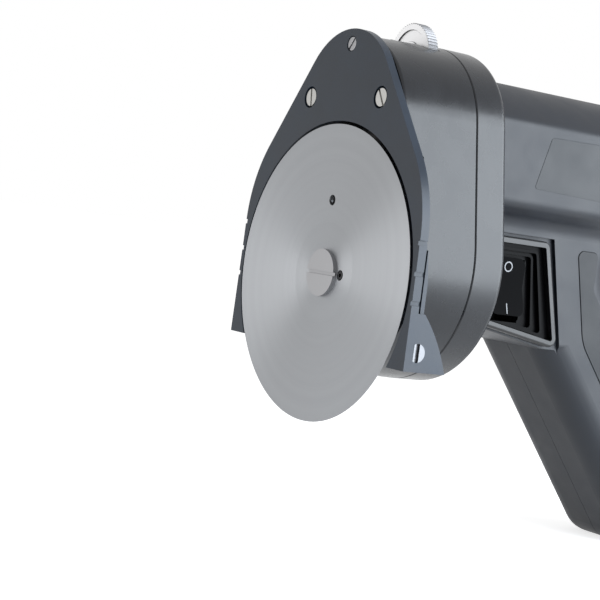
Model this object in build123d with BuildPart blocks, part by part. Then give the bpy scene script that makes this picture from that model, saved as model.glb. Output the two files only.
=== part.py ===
from build123d import *
from math import acos, asin, cos, pi, radians, sin, sqrt, tan
import os

# Electric kebab knife. All sizes are in millimetres.
# Row frame: origin at the mouth of the power inlet, in the middle of the grip's foot.
# +Z is up, -Y is towards the blade, and +X is the side that carries the switch.
# Inside the script a place is given as "back" from the cutting plane, "up" from the
# blade's axis and "out" from the plane of symmetry.

os.makedirs("parts", exist_ok=True)

# Height of the blade's axis over the grip's foot
head_rise = 88.0

# Fits and cuts shared by the whole tool
overrun = 2.0
run_gap = 0.04
seat_gap = 0.02
slide_gap = 0.06
body_gap = 0.4
seam_gap = 0.15
seam_bevel = 0.35

# Blade
blade_d = 100.0
blade_t = 1.5
blade_dish = 1.5
blade_flat_d = 34.0
blade_bevel_w = 4.0
blade_edge_t = 0.1
blade_bore_d = 8.0
lock_hole_d = 3.6
lock_hole_up = 24.5
drive_pin_d = 2.8
drive_pin_bore_d = 1.4
drive_pin_out = 10.0
drive_pin_relief = 0.35

# Blade screw
blade_screw_d = 16.0
blade_screw_t = 1.5
blade_screw_shank_d = 5.0
blade_screw_l = 14.0
blade_screw_slot_w = 1.2
blade_screw_slot_t = 0.8

# Spindle, its bearings and its seal
flange_d = 26.0
flange_t = 2.0
spindle_d = 10.0
bearing_d = 26.0
bearing_w = 8.0
bearing_bevel = 0.5
race_w = 2.6
race_step = 0.5
seal_d = 22.0
seal_w = 2.0

# Gear case
case_front = 11.8
pad_front = 3.7
recess_gap = 3.25
case_split = 33.0
case_draft = 2.2
case_back = 46.0
case_low_r = 40.2
case_low_up = 7.0
case_top_r = 31.8
case_top_up = 49.6
case_wall = 3.0
case_front_wall = 4.0
case_back_wall = 3.0
case_front_round = 1.0
case_back_round = 2.2
nose_d = 34.0
nose_front = 5.6
nose_lip = 1.2
boss_wall = 3.0
lock_boss_d = 9.0
lock_boss_l = 3.0

# Gears
gear_module = 1.0
gear_w = 8.0
gear_front = 22.0
pressure_angle = 20.0
backlash = 0.12
addendum_share = 0.92
dedendum_share = 1.25
output_teeth = 40
idler_teeth = 20
pinion_teeth = 15
output_hub_d = 18.0
output_hub_l = 4.0
output_web_t = 4.0
output_rim_r = 16.0
axle_d = 6.0
idler_bush_d = 8.0
axle_seat = 4.0

# Depth gauge
plate_front = 0.3
plate_t = 3.0
plate_top_up = 82.0
plate_top_r = 26.5
plate_rim_w = 1.5
plate_foot_flare = 0.7
plate_low = -26.0
flank_angle = 37.0
shoulder_r = 45.0
guard_gap = 1.1
arm_t = 2.8
arm_sink = 0.8
arm_line_w = 1.2
arm_line_t = 0.6
arm_back = 6.0
arm_top_up = 20.0
arm_full_up = 2.0
wing_top_up = -7.8
wing_mid_back = 12.7
wing_mid_up = -17.4
wing_back = 16.4
notch_up_shares = (0.278, 0.086, -0.096)
notch_h = 1.5
notch_t = 0.8
wing_pocket_r = 3.0
wing_pocket_back = 4.7
wing_pocket_up = -20.0
wing_pocket_t = 1.2
wing_slot_w = 1.5
wing_slot_t = 0.9
wing_screw_shank_d = 2.5

# Guide posts, adjusting spindle and thumbwheel
post_d = 8.0
post_out = 20.9
post_up = 59.0
post_end = 31.0
bush_wall = 1.5
bush_inset = 0.5
bush_l = 17.0
post_screw_d = 6.0
post_screw_t = 1.4
post_screw_shank_d = 3.0
post_screw_l = 9.0
post_screw_sink = 1.7
post_screw_bore_d = 7.4
adjuster_d = 5.0
adjuster_up = 76.9
adjuster_end = 38.0
adjuster_screw_d = 4.6
adjuster_screw_t = 1.0
adjuster_screw_shank_d = 2.2
adjuster_screw_l = 7.0
adjuster_screw_sink = 1.2
adjuster_screw_bore_d = 5.2
small_slot_w = 0.8
small_slot_t = 0.6
post_slot_turns = (98, 122)
adjuster_slot_turn = 52
slot_turn_step = 38
wheel_d = 22.8
wheel_w = 4.0
wheel_front = 24.0
wheel_grooves = 60
wheel_groove_t = 0.5
wheel_hub_d = 10.0
wheel_recess_t = 0.5
wheel_recess_d = 18.0

# Motor
motor_d = 44.0
motor_gap = 0.1
air_gap = 1.2
motor_cap_t = 3.9
motor_pilot_d = 18.0
can_wall = 2.0
can_l = 62.0
rear_cap_l = 12.0
rear_cap_wall = 3.0
magnet_t = 2.8
magnet_l = 48.0
magnet_inset = 6.0
magnet_span = 120.0
shaft_d = 5.0
shaft_front = 17.0
shaft_end = 136.0
rotor_l = 44.0
rotor_inset = 8.0
rotor_slots = 8
rotor_slot_w = 2.4
rotor_slot_t = 7.0
commutator_d = 14.0
commutator_l = 10.0
brush_w = 4.0
brush_h = 5.0
fan_inset = 2.5
fan_hub_d = 14.0
fan_w = 7.0
fan_blades = 8
fan_blade_t = 1.2
motor_screw_out = 14.0
motor_screw_d = 5.5
motor_screw_t = 2.0
motor_screw_shank_d = 3.0

# Barrel
barrel_end = 148.0
barrel_side_wall = 7.0
barrel_arch_wall = 4.5
crease_high_rise = 12.0
crease_low_drop = 15.7
crease_r = 4.0
label_front = 62.8
label_lean = 5.0
label_l = 48.0
label_low_up = 37.6
label_top_up = 56.0
label_flare = 1.2
label_corner_r = 1.2
label_t = 0.3
cap_t = 9.0
cap_wall = 3.5
cap_round = 3.0
vent_count = 6
vent_h = 2.4
vent_pitch = 5.2
vent_w = 30.0
cap_screw_shares = ((0.81, 0.264), (0.74, 0.755))
cap_screw_d = 4.4
cap_screw_t = 1.8
cap_screw_shank_d = 2.4
cap_screw_l = 16.0
cap_pillar_d = 7.0

# Switch block, grip and foot
block_half_w = 21.0
block_front_up = -9.8
block_low_up = -17.0
block_end = 100.0
block_round = 2.5
block_wall = 4.0
block_floor = 2.0
well_t = 1.5
well_top_up = 22.0
well_gap = 3.1
block_blend = 6.0
grip_rake = 39.6
grip_front = 84.716
grip_depth = 49.0
grip_round = 10.0
foot_front_round = 13.0
foot_back_round = 10.5
inlet_share = 0.3683
grip_wall = 5.0
web_up = 24.0
web_round = 11.0
web_end = 132.0
pad_t = 1.3
pad_sink = 1.0
pad_gap = 0.15
pad_inset = 20.0
pad_w = 18.0
pad_top_up = 19.5
pad_top_front = 93.5
pad_web_up = 6.0
pad_bend_up = -13.5
pad_bend_r = 18.0
pad_foot_inset = 15.0
pad_corner_r = 2.5

# Power inlet
gland_d = 14.0
gland_bore_d = 7.4
gland_l = 14.0
gland_collar_d = 17.0
gland_collar_t = 3.0

# Switch
switch_back = 61.0
switch_up = 2.4
bezel_gap = 1.0
bezel_top_up = 20.8
bezel_top_back = 79.0
bezel_low_back = 89.1
bezel_low_up = -16.6
bezel_front_up = -9.4
bezel_rim_w = 2.2
bezel_t = 3.4
bezel_corner_r = 3.0
bezel_round = 1.0
boot_t = 1.2
boot_rib_t = 1.6
boot_rib_w = 0.9
boot_rib_shares = (0.08, 0.42, 0.7)
boot_corner_r = 2.0
rocker_w = 15.0
rocker_h = 20.0
rocker_corner_r = 3.0
rocker_gap = 0.4
rocker_swing = 0.6
rocker_reach = 5.6
rocker_dip = 1.7
rocker_pivot_in = 4.0
rocker_tilt = 8.0
rocker_keel_in = 5.5
rocker_keel_h = 8.0
rocker_shoulder = 1.0
trunnion_d = 2.4
trunnion_l = 1.2
switch_wall = 1.2
switch_depth = 18.0
switch_cup_in = 9.0
terminal_l = 6.0
terminal_w = 4.8
terminal_t = 0.8
terminal_pitch = 9.0

# Screws that close the cases
case_screw_shares = ((0.76, 0.174), (0.4, -0.746))
case_screw_d = 6.0
case_screw_t = 2.0
case_screw_shank_d = 3.0
case_screw_l = 24.0
pillar_d = 8.6
pillar_front = 17.0
shell_screw_inset = 5.5
block_screw_up = 20.0
block_screw_rise = 9.0
grip_screw_shares = ((-0.59, 0.32), (-0.75, 0.32))
shell_screw_d = 5.6
shell_screw_t = 2.2
shell_screw_shank_d = 3.0
shell_screw_sink = 0.6
shell_screw_bite = 8.0
shell_pillar_d = 8.0


# Worked out from the sizes above
blade_r = blade_d / 2
blade_seat = blade_dish + blade_t
flange_back = blade_seat + flange_t
case_inner_front = case_front + case_front_wall
case_inner_back = case_back - case_back_wall
bearing_front = nose_front + nose_lip + seal_w
idler_up = gear_module * (output_teeth + idler_teeth) / 2
pinion_up = idler_up + gear_module * (idler_teeth + pinion_teeth) / 2
gear_back = gear_front + gear_w
plate_back = plate_front + plate_t
plate_top_centre = plate_top_up - plate_top_r
plate_half_w = blade_r + guard_gap + plate_rim_w
plate_foot_half_w = plate_half_w + plate_foot_flare
motor_front = case_back + motor_gap
can_front = motor_front + motor_cap_t
can_back = can_front + can_l
motor_end = can_back + rear_cap_l
rotor_d = motor_d - 2 * (can_wall + magnet_t + air_gap)
fan_d = motor_d - 2 * fan_inset
rotor_front = can_front + rotor_inset
rotor_back = rotor_front + rotor_l
wheel_back = wheel_front + wheel_w
switch_out = block_half_w - well_t
bezel_front = case_back + bezel_gap
barrel_half_w = motor_d / 2 + barrel_side_wall
barrel_top_up = pinion_up + motor_d / 2 + barrel_arch_wall
barrel_low_up = pinion_up - motor_d / 2 - barrel_arch_wall
crease_high_up = pinion_up + crease_high_rise
crease_low_up = pinion_up - crease_low_drop
rake_share = tan(radians(grip_rake))
foot_front = grip_front + (block_low_up + head_rise) * rake_share
head_reach = foot_front + inlet_share * grip_depth


def facing(back, up=0):
    """Plane parallel to the blade. Local x is out, local y is up, and it extrudes forward."""
    return Plane(
        origin=(0, back - head_reach, head_rise + up),
        x_dir=(1, 0, 0),
        z_dir=(0, -1, 0),
    )


def beside(out=0, up=0):
    """Plane parallel to the plane of symmetry. Local x is back, local y is up."""
    return Plane(
        origin=(out, -head_reach, head_rise + up),
        x_dir=(0, 1, 0),
        z_dir=(1, 0, 0),
    )


def shaft_line(up=0):
    """Axis that runs back at a height over the blade's axis."""
    return Axis((0, -head_reach, head_rise + up), (0, 1, 0))


def turned(points, up=0):
    """Solid of revolution about a shaft line, from points given as (back, radius)."""
    with BuildPart() as body:
        with BuildSketch(beside(0, up)):
            with BuildLine():
                Polyline(*points, close=True)
            make_face()
        revolve(axis=shaft_line(up))
    return body.part


def slotted_screw(place, head_d, head_t, shank_d, shank_l, slot_w, slot_t, turn):
    """Screw with its head's underside on the plane, its shank behind it and a slot across it."""
    with BuildPart() as screw:
        with BuildSketch(place):
            Circle(head_d / 2)
        extrude(amount=head_t)
        with BuildSketch(place):
            Circle(shank_d / 2)
        extrude(amount=-shank_l)
        with BuildSketch(place.offset(head_t)):
            Rectangle(head_d + overrun, slot_w, rotation=turn)
        extrude(amount=-slot_t, mode=Mode.SUBTRACT)
    return screw.part


def mirrored(places):
    """The given (out, up) places on both sides of the plane of symmetry."""
    return [(side * out, up) for out, up in places for side in (-1, 1)]


def case_face(inset=0):
    """Egg outline of the gear case: a large arc below, a smaller one above, tangent sides."""
    low_r = case_low_r - inset
    top_r = case_top_r - inset
    lean = asin((low_r - top_r) / (case_top_up - case_low_up))
    low = (low_r * cos(lean), case_low_up + low_r * sin(lean))
    top = (top_r * cos(lean), case_top_up + top_r * sin(lean))
    with BuildSketch() as face:
        with BuildLine():
            ThreePointArc(low, (0, case_low_up - low_r), (-low[0], low[1]))
            Line((-low[0], low[1]), (-top[0], top[1]))
            ThreePointArc((-top[0], top[1]), (0, case_top_up + top_r), top)
            Line(top, low)
        make_face()
    return face.sketch


def plate_face(inset=0):
    """Tear-drop outline of the depth gauge: round top, straight flanks, round shoulders."""
    lean = radians(flank_angle)
    top_r = plate_top_r - inset
    wide = plate_half_w - inset
    foot = plate_foot_half_w - inset
    top = (top_r * cos(lean), plate_top_centre + top_r * sin(lean))
    drop = (wide - top[0]) / sin(lean) * cos(lean)
    with BuildSketch() as face:
        with BuildLine():
            Line((-foot, plate_low), (foot, plate_low))
            Line((foot, plate_low), (wide, top[1] - drop))
            Line((wide, top[1] - drop), top)
            ThreePointArc(top, (0, plate_top_centre + top_r), (-top[0], top[1]))
            Line((-top[0], top[1]), (-wide, top[1] - drop))
            Line((-wide, top[1] - drop), (-foot, plate_low))
        make_face()
        fillet(face.vertices().group_by(Axis.Y)[1], radius=shoulder_r)
    return face.sketch


def gear_face(teeth, turn):
    """Involute spur gear outline, with one tooth centred at the angle turn."""
    pitch_r = gear_module * teeth / 2
    base_r = pitch_r * cos(radians(pressure_angle))
    tip_r = pitch_r + gear_module * addendum_share
    root_r = pitch_r - gear_module * dedendum_share
    start_r = max(base_r, root_r)
    mid_r = (start_r + tip_r) / 2

    def spread(radius):
        return tan(acos(base_r / radius)) - acos(base_r / radius)

    half = (pi * gear_module / 2 - backlash) / (2 * pitch_r) + spread(pitch_r)

    def at(radius, angle):
        return (radius * cos(angle), radius * sin(angle))

    pitch = 2 * pi / teeth
    with BuildSketch() as face:
        with BuildLine():
            for tooth in range(teeth):
                middle = radians(turn) + tooth * pitch
                lead = middle + half
                trail = middle - half
                after = middle + pitch - half
                if root_r < start_r:
                    Line(at(root_r, trail), at(start_r, trail))
                    Line(at(start_r, lead), at(root_r, lead))
                ThreePointArc(
                    at(start_r, trail),
                    at(mid_r, trail + spread(mid_r)),
                    at(tip_r, trail + spread(tip_r)),
                )
                Line(at(tip_r, trail + spread(tip_r)), at(tip_r, lead - spread(tip_r)))
                ThreePointArc(
                    at(tip_r, lead - spread(tip_r)),
                    at(mid_r, lead - spread(mid_r)),
                    at(start_r, lead),
                )
                Line(at(root_r, lead), at(root_r, after))
        make_face()
    return face.sketch


def barrel_face(inset=0):
    """Barrel section: flat sides between two creases, with a shallow arch above and below."""
    wide = barrel_half_w - inset
    with BuildSketch() as face:
        with BuildLine():
            Line((wide, crease_low_up + inset), (wide, crease_high_up - inset))
            ThreePointArc(
                (wide, crease_high_up - inset),
                (0, barrel_top_up - inset),
                (-wide, crease_high_up - inset),
            )
            Line((-wide, crease_high_up - inset), (-wide, crease_low_up + inset))
            ThreePointArc(
                (-wide, crease_low_up + inset),
                (0, barrel_low_up + inset),
                (wide, crease_low_up + inset),
            )
        make_face()
        fillet(face.vertices(), radius=crease_r)
    return face.sketch


def grip_line(up, behind=0):
    """Point on the raked front line of the grip, or so far behind it."""
    return (grip_front + (block_low_up - up) * rake_share + behind, up)


def grip_face():
    """Side outline of the grip, from the foot up into the barrel, with the web behind."""
    with BuildSketch() as face:
        with BuildLine():
            Polyline(
                (grip_line(web_up)[0], crease_high_up),
                grip_line(web_up),
                grip_line(-head_rise),
                grip_line(-head_rise, grip_depth),
                grip_line(web_up, grip_depth),
                (web_end, web_up),
                (web_end, crease_high_up),
                close=True,
            )
        make_face()
        fillet(face.vertices().group_by(Axis.Y)[0].sort_by(Axis.X)[0], radius=foot_front_round)
        fillet(face.vertices().group_by(Axis.Y)[0].sort_by(Axis.X)[-1], radius=foot_back_round)
        web = face.vertices().group_by(Axis.Y)[-2].sort_by(Axis.X)[1]
        fillet(web, radius=web_round)
    return face.sketch


posts = mirrored([(post_out, post_up)])
case_outline = case_face()
case_hollow = case_face(case_wall)
barrel_outline = barrel_face()
grip_outline = grip_face()
plate_outline = plate_face()
plate_inner = plate_face(arm_t)
plate_arm = plate_face(arm_sink)
plate_arm_line = plate_face(arm_sink + arm_line_t)
plate_groove = plate_face(notch_t)


# Blade: dished disc, flat where it is clamped, ground to its edge from behind
with BuildPart() as blade:
    with BuildSketch(beside()):
        with BuildLine():
            Polyline(
                (blade_dish, 0),
                (blade_dish, blade_flat_d / 2),
                (0, blade_r),
                (blade_edge_t, blade_r),
                (blade_t + blade_dish * blade_bevel_w / blade_r, blade_r - blade_bevel_w),
                (blade_seat, blade_flat_d / 2),
                (blade_seat, 0),
                close=True,
            )
        make_face()
    revolve(axis=shaft_line())
    with BuildSketch(facing(blade_seat + overrun)):
        Circle(blade_bore_d / 2)
        with Locations((0, lock_hole_up)):
            Circle(lock_hole_d / 2)
        with Locations((drive_pin_out, 0)):
            Circle(drive_pin_d / 2 + drive_pin_relief)
    extrude(amount=blade_seat + 2 * overrun, mode=Mode.SUBTRACT)
blade.part.label = "blade"

# Blade screw: thin wide head flush with the cutting plane
with BuildPart() as blade_screw:
    add(
        slotted_screw(
            facing(blade_dish),
            blade_screw_d,
            blade_screw_t,
            blade_screw_shank_d,
            blade_screw_l,
            blade_screw_slot_w,
            blade_screw_slot_t,
            0,
        )
    )
blade_screw.part.label = "blade_screw"

# Drive pin: roll pin through the blade into the flange
with BuildPart() as drive_pin:
    with BuildSketch(facing(flange_back)):
        with Locations((drive_pin_out, 0)):
            Circle(drive_pin_d / 2)
            Circle(drive_pin_bore_d / 2, mode=Mode.SUBTRACT)
    extrude(amount=flange_back - blade_dish)
drive_pin.part.label = "drive_pin"

# Blade spindle: pilot, flange and one long journal, tapped for the blade screw
with BuildPart() as blade_spindle:
    add(
        turned(
            (
                (blade_dish, 0),
                (blade_dish, blade_bore_d / 2 - seat_gap),
                (blade_seat, blade_bore_d / 2 - seat_gap),
                (blade_seat, flange_d / 2),
                (flange_back, flange_d / 2),
                (flange_back, spindle_d / 2),
                (case_inner_back - body_gap, spindle_d / 2),
                (case_inner_back - body_gap, 0),
            )
        )
    )
    with BuildSketch(facing(blade_dish + blade_screw_l + overrun)):
        Circle(blade_screw_shank_d / 2 + seat_gap)
    extrude(amount=blade_screw_l + 2 * overrun, mode=Mode.SUBTRACT)
    with BuildSketch(facing(flange_back + overrun)):
        with Locations((drive_pin_out, 0)):
            Circle(drive_pin_d / 2 + seat_gap)
    extrude(amount=flange_back + overrun, mode=Mode.SUBTRACT)
blade_spindle.part.label = "blade_spindle"


def bearing(front):
    """Ball bearing as one piece: two races standing proud of its shields."""
    inner = spindle_d / 2 + run_gap
    outer = bearing_d / 2 - seat_gap
    back = front + bearing_w
    return turned(
        (
            (front, inner),
            (front, inner + race_w),
            (front + race_step, inner + race_w),
            (front + race_step, outer - race_w),
            (front, outer - race_w),
            (front, outer - bearing_bevel),
            (front + bearing_bevel, outer),
            (back - bearing_bevel, outer),
            (back, outer - bearing_bevel),
            (back, outer - race_w),
            (back - race_step, outer - race_w),
            (back - race_step, inner + race_w),
            (back, inner + race_w),
            (back, inner),
        )
    )


# Bearings at both ends of the spindle
with BuildPart() as front_bearing:
    add(bearing(bearing_front))
front_bearing.part.label = "front_bearing"

with BuildPart() as rear_bearing:
    add(bearing(case_inner_back - bearing_w))
rear_bearing.part.label = "rear_bearing"

# Spindle seal: rubber ring that keeps fat out of the gear case
with BuildPart() as spindle_seal:
    with BuildSketch(facing(bearing_front - seat_gap)):
        Circle(seal_d / 2 - seat_gap)
        Circle(spindle_d / 2 + run_gap, mode=Mode.SUBTRACT)
    extrude(amount=seal_w - seat_gap)
spindle_seal.part.label = "spindle_seal"

# Output gear: rim, thin web and hub, fixed on the spindle
with BuildPart() as output_gear:
    with BuildSketch(facing(gear_back)):
        add(gear_face(output_teeth, 90))
    extrude(amount=gear_w)
    with BuildSketch(facing(gear_back + overrun)):
        Circle(output_rim_r)
        Circle(output_hub_d / 2, mode=Mode.SUBTRACT)
    extrude(amount=overrun + gear_w - output_web_t, mode=Mode.SUBTRACT)
    with BuildSketch(facing(gear_back + output_hub_l)):
        Circle(output_hub_d / 2)
    extrude(amount=output_hub_l)
    with BuildSketch(facing(gear_back + output_hub_l + overrun)):
        Circle(spindle_d / 2 + seat_gap)
    extrude(amount=gear_w + output_hub_l + 2 * overrun, mode=Mode.SUBTRACT)
output_gear.part.label = "output_gear"

# Idler gear and its bronze bush, free on a fixed axle between the two shells
with BuildPart() as idler_gear:
    with BuildSketch(facing(gear_back, idler_up)):
        add(gear_face(idler_teeth, 90 + 180 / idler_teeth))
        Circle(idler_bush_d / 2 + seat_gap, mode=Mode.SUBTRACT)
    extrude(amount=gear_w)
idler_gear.part.label = "idler_gear"

with BuildPart() as idler_bush:
    with BuildSketch(facing(gear_back, idler_up)):
        Circle(idler_bush_d / 2)
        Circle(axle_d / 2 + run_gap, mode=Mode.SUBTRACT)
    extrude(amount=gear_w)
idler_bush.part.label = "idler_bush"

with BuildPart() as idler_axle:
    with BuildSketch(facing(gear_back + body_gap + axle_seat, idler_up)):
        Circle(axle_d / 2)
    extrude(amount=gear_w + 2 * body_gap + 2 * axle_seat)
idler_axle.part.label = "idler_axle"

# Motor pinion on the front end of the motor shaft
with BuildPart() as motor_pinion:
    with BuildSketch(facing(gear_back, pinion_up)):
        add(gear_face(pinion_teeth, 270))
        Circle(shaft_d / 2 + seat_gap, mode=Mode.SUBTRACT)
    extrude(amount=gear_w)
motor_pinion.part.label = "motor_pinion"

with BuildPart() as motor_shaft:
    with BuildSketch(facing(shaft_end, pinion_up)):
        Circle(shaft_d / 2)
    extrude(amount=shaft_end - shaft_front)
motor_shaft.part.label = "motor_shaft"

# Rotor: slotted stack of laminations
with BuildPart() as rotor_core:
    with BuildSketch(facing(rotor_back, pinion_up)):
        Circle(rotor_d / 2)
        Circle(shaft_d / 2 + seat_gap, mode=Mode.SUBTRACT)
        with PolarLocations(rotor_d / 2, rotor_slots):
            Rectangle(2 * rotor_slot_t, rotor_slot_w, mode=Mode.SUBTRACT)
    extrude(amount=rotor_l)
rotor_core.part.label = "rotor_core"

with BuildPart() as commutator:
    with BuildSketch(facing(rotor_back + magnet_inset + commutator_l, pinion_up)):
        Circle(commutator_d / 2)
        Circle(shaft_d / 2 + seat_gap, mode=Mode.SUBTRACT)
    extrude(amount=commutator_l + magnet_inset)
commutator.part.label = "commutator"

# Cooling fan on the rear end of the shaft
with BuildPart() as cooling_fan:
    with BuildSketch(facing(shaft_end, pinion_up)):
        Circle(fan_hub_d / 2)
        with PolarLocations((fan_d + fan_hub_d) / 4, fan_blades):
            Rectangle((fan_d - fan_hub_d) / 2 + fan_blade_t, fan_blade_t)
        Circle(shaft_d / 2 + seat_gap, mode=Mode.SUBTRACT)
    extrude(amount=fan_w)
cooling_fan.part.label = "cooling_fan"

# Motor case: front cap with a pilot, steel can, rear cap that carries the brushes
with BuildPart() as motor_front_cap:
    with BuildSketch(facing(can_front, pinion_up)):
        Circle(motor_d / 2)
    extrude(amount=motor_cap_t)
    with BuildSketch(facing(motor_front, pinion_up)):
        Circle(motor_pilot_d / 2 - seat_gap)
    extrude(amount=motor_front - case_inner_back)
    with BuildSketch(facing(can_front + overrun, pinion_up)):
        Circle(shaft_d / 2 + run_gap)
        with Locations((-motor_screw_out, 0), (motor_screw_out, 0)):
            Circle(motor_screw_shank_d / 2 + seat_gap)
    extrude(amount=can_front - case_inner_back + 2 * overrun, mode=Mode.SUBTRACT)
motor_front_cap.part.label = "motor_front_cap"

with BuildPart() as motor_can:
    with BuildSketch(facing(can_back, pinion_up)):
        Circle(motor_d / 2)
        Circle(motor_d / 2 - can_wall, mode=Mode.SUBTRACT)
    extrude(amount=can_l)
motor_can.part.label = "motor_can"

with BuildPart() as motor_magnets:
    with BuildSketch(facing(can_front + magnet_inset + magnet_l, pinion_up)):
        Circle(motor_d / 2 - can_wall)
        Circle(motor_d / 2 - can_wall - magnet_t, mode=Mode.SUBTRACT)
        gap_h = motor_d * sin(radians((180 - magnet_span) / 2))
        Rectangle(gap_h, motor_d, mode=Mode.SUBTRACT)
    extrude(amount=magnet_l)
motor_magnets.part.label = "motor_magnets"

with BuildPart() as motor_rear_cap:
    with BuildSketch(facing(motor_end, pinion_up)):
        Circle(motor_d / 2)
    extrude(amount=rear_cap_l)
    with BuildSketch(facing(motor_end - rear_cap_wall, pinion_up)):
        Circle(motor_d / 2 - rear_cap_wall)
    extrude(amount=rear_cap_l, mode=Mode.SUBTRACT)
    with BuildSketch(facing(motor_end + overrun, pinion_up)):
        Circle(shaft_d / 2 + run_gap)
    extrude(amount=rear_cap_wall + 2 * overrun, mode=Mode.SUBTRACT)
motor_rear_cap.part.label = "motor_rear_cap"

brush_back = can_back + (rear_cap_l - rear_cap_wall) / 2
brush_near = commutator_d / 2 + run_gap
brush_far = sqrt((motor_d / 2 - rear_cap_wall) ** 2 - (brush_h / 2) ** 2) - seat_gap
with BuildPart() as motor_brushes:
    with BuildSketch(facing(brush_back + brush_w / 2, pinion_up)):
        with Locations(mirrored([((brush_near + brush_far) / 2, 0)])):
            Rectangle(brush_far - brush_near, brush_h)
    extrude(amount=brush_w)
motor_brushes.part.label = "motor_brushes"

with BuildPart() as motor_screws:
    for side in (-1, 1):
        add(
            slotted_screw(
                Plane(
                    origin=(side * motor_screw_out, case_inner_back - head_reach, head_rise + pinion_up),
                    x_dir=(1, 0, 0),
                    z_dir=(0, -1, 0),
                ),
                motor_screw_d,
                motor_screw_t,
                motor_screw_shank_d,
                case_back_wall + motor_cap_t,
                small_slot_w,
                small_slot_t,
                0,
            )
        )
motor_screws.part.label = "motor_screws"


# Front shell of the gear case: egg-shaped cup, nose, post bosses and the wheel's slot
bush_d = post_d + 2 * slide_gap + 2 * bush_wall
adjuster_bore_r = adjuster_d / 2 + body_gap / 2
bush_back = pad_front + bush_inset + bush_l
case_screws = mirrored([(out * case_low_r, case_low_up + up * case_low_r) for out, up in case_screw_shares])
with BuildPart() as front_shell:
    with BuildSketch(facing(case_split - seam_gap)):
        add(case_outline)
    extrude(amount=case_split - seam_gap - pad_front, taper=case_draft)
    fillet(front_shell.faces().sort_by(Axis.Y)[0].edges(), radius=case_front_round)
    with BuildSketch(facing(case_front)):
        Circle(blade_r + recess_gap)
    extrude(amount=case_front, mode=Mode.SUBTRACT)
    chamfer(front_shell.faces().sort_by(Axis.Y)[-1].edges(), length=seam_bevel)
    with BuildSketch(facing(case_split + overrun)):
        add(case_hollow)
    extrude(amount=case_split + overrun - case_inner_front, mode=Mode.SUBTRACT)
    with BuildSketch(facing(bearing_front + bearing_w + seat_gap)):
        Circle(nose_d / 2)
    extrude(amount=bearing_front + bearing_w + seat_gap - nose_front)
    with BuildSketch(facing(case_inner_front + lock_boss_l)):
        with Locations((0, lock_hole_up)):
            Circle(lock_boss_d / 2)
    extrude(amount=lock_boss_l)
    with BuildSketch(facing(bush_back)):
        with Locations(posts):
            Circle(bush_d / 2 + boss_wall / 2)
    extrude(amount=bush_back - case_inner_front)
    with BuildSketch(facing(gear_front - body_gap)):
        with Locations((0, idler_up)):
            Circle(axle_d / 2 + boss_wall)
        with Locations((0, pinion_up)):
            Circle(shaft_d / 2 + boss_wall)
    extrude(amount=gear_front - body_gap - case_inner_front)
    with BuildSketch(facing(wheel_front - body_gap)):
        with Locations((0, adjuster_up)):
            Circle(adjuster_bore_r + boss_wall / 2)
    extrude(amount=wheel_front - body_gap - case_inner_front)
    with BuildSketch(facing(case_split - seam_gap)):
        with Locations(case_screws):
            Circle(pillar_d / 2)
    extrude(amount=case_split - seam_gap - case_inner_front)
    # bores and seats
    with BuildSketch(facing(bearing_front + bearing_w + overrun)):
        Circle(bearing_d / 2)
    extrude(amount=bearing_w + overrun, mode=Mode.SUBTRACT)
    with BuildSketch(facing(bearing_front + overrun)):
        Circle(seal_d / 2)
    extrude(amount=seal_w + overrun, mode=Mode.SUBTRACT)
    with BuildSketch(facing(bearing_front + overrun)):
        Circle(spindle_d / 2 + body_gap)
    extrude(amount=bearing_front + overrun, mode=Mode.SUBTRACT)
    with BuildSketch(facing(case_split)):
        with Locations((0, lock_hole_up)):
            Circle(lock_hole_d / 2)
        with Locations(posts):
            Circle(bush_d / 2)
        with Locations((0, adjuster_up)):
            Circle(adjuster_bore_r)
    extrude(amount=case_split, mode=Mode.SUBTRACT)
    with BuildSketch(facing(gear_front)):
        with Locations((0, idler_up)):
            Circle(axle_d / 2 + seat_gap)
    extrude(amount=body_gap + axle_seat, mode=Mode.SUBTRACT)
    with BuildSketch(facing(gear_front)):
        with Locations((0, pinion_up)):
            Circle(shaft_d / 2 + run_gap)
    extrude(amount=gear_front - shaft_front + body_gap, mode=Mode.SUBTRACT)
    with BuildSketch(facing(case_split)):
        with Locations(case_screws):
            Circle(case_screw_shank_d / 2 + seat_gap)
    extrude(amount=case_split - pillar_front, mode=Mode.SUBTRACT)
    with BuildSketch(facing(wheel_back + body_gap)):
        with Locations((0, adjuster_up + wheel_d / 2)):
            Rectangle(wheel_d + 2 * body_gap, 2 * wheel_d + 2 * body_gap)
    extrude(amount=wheel_w + 2 * body_gap, mode=Mode.SUBTRACT)
front_shell.part.label = "front_shell"

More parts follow.
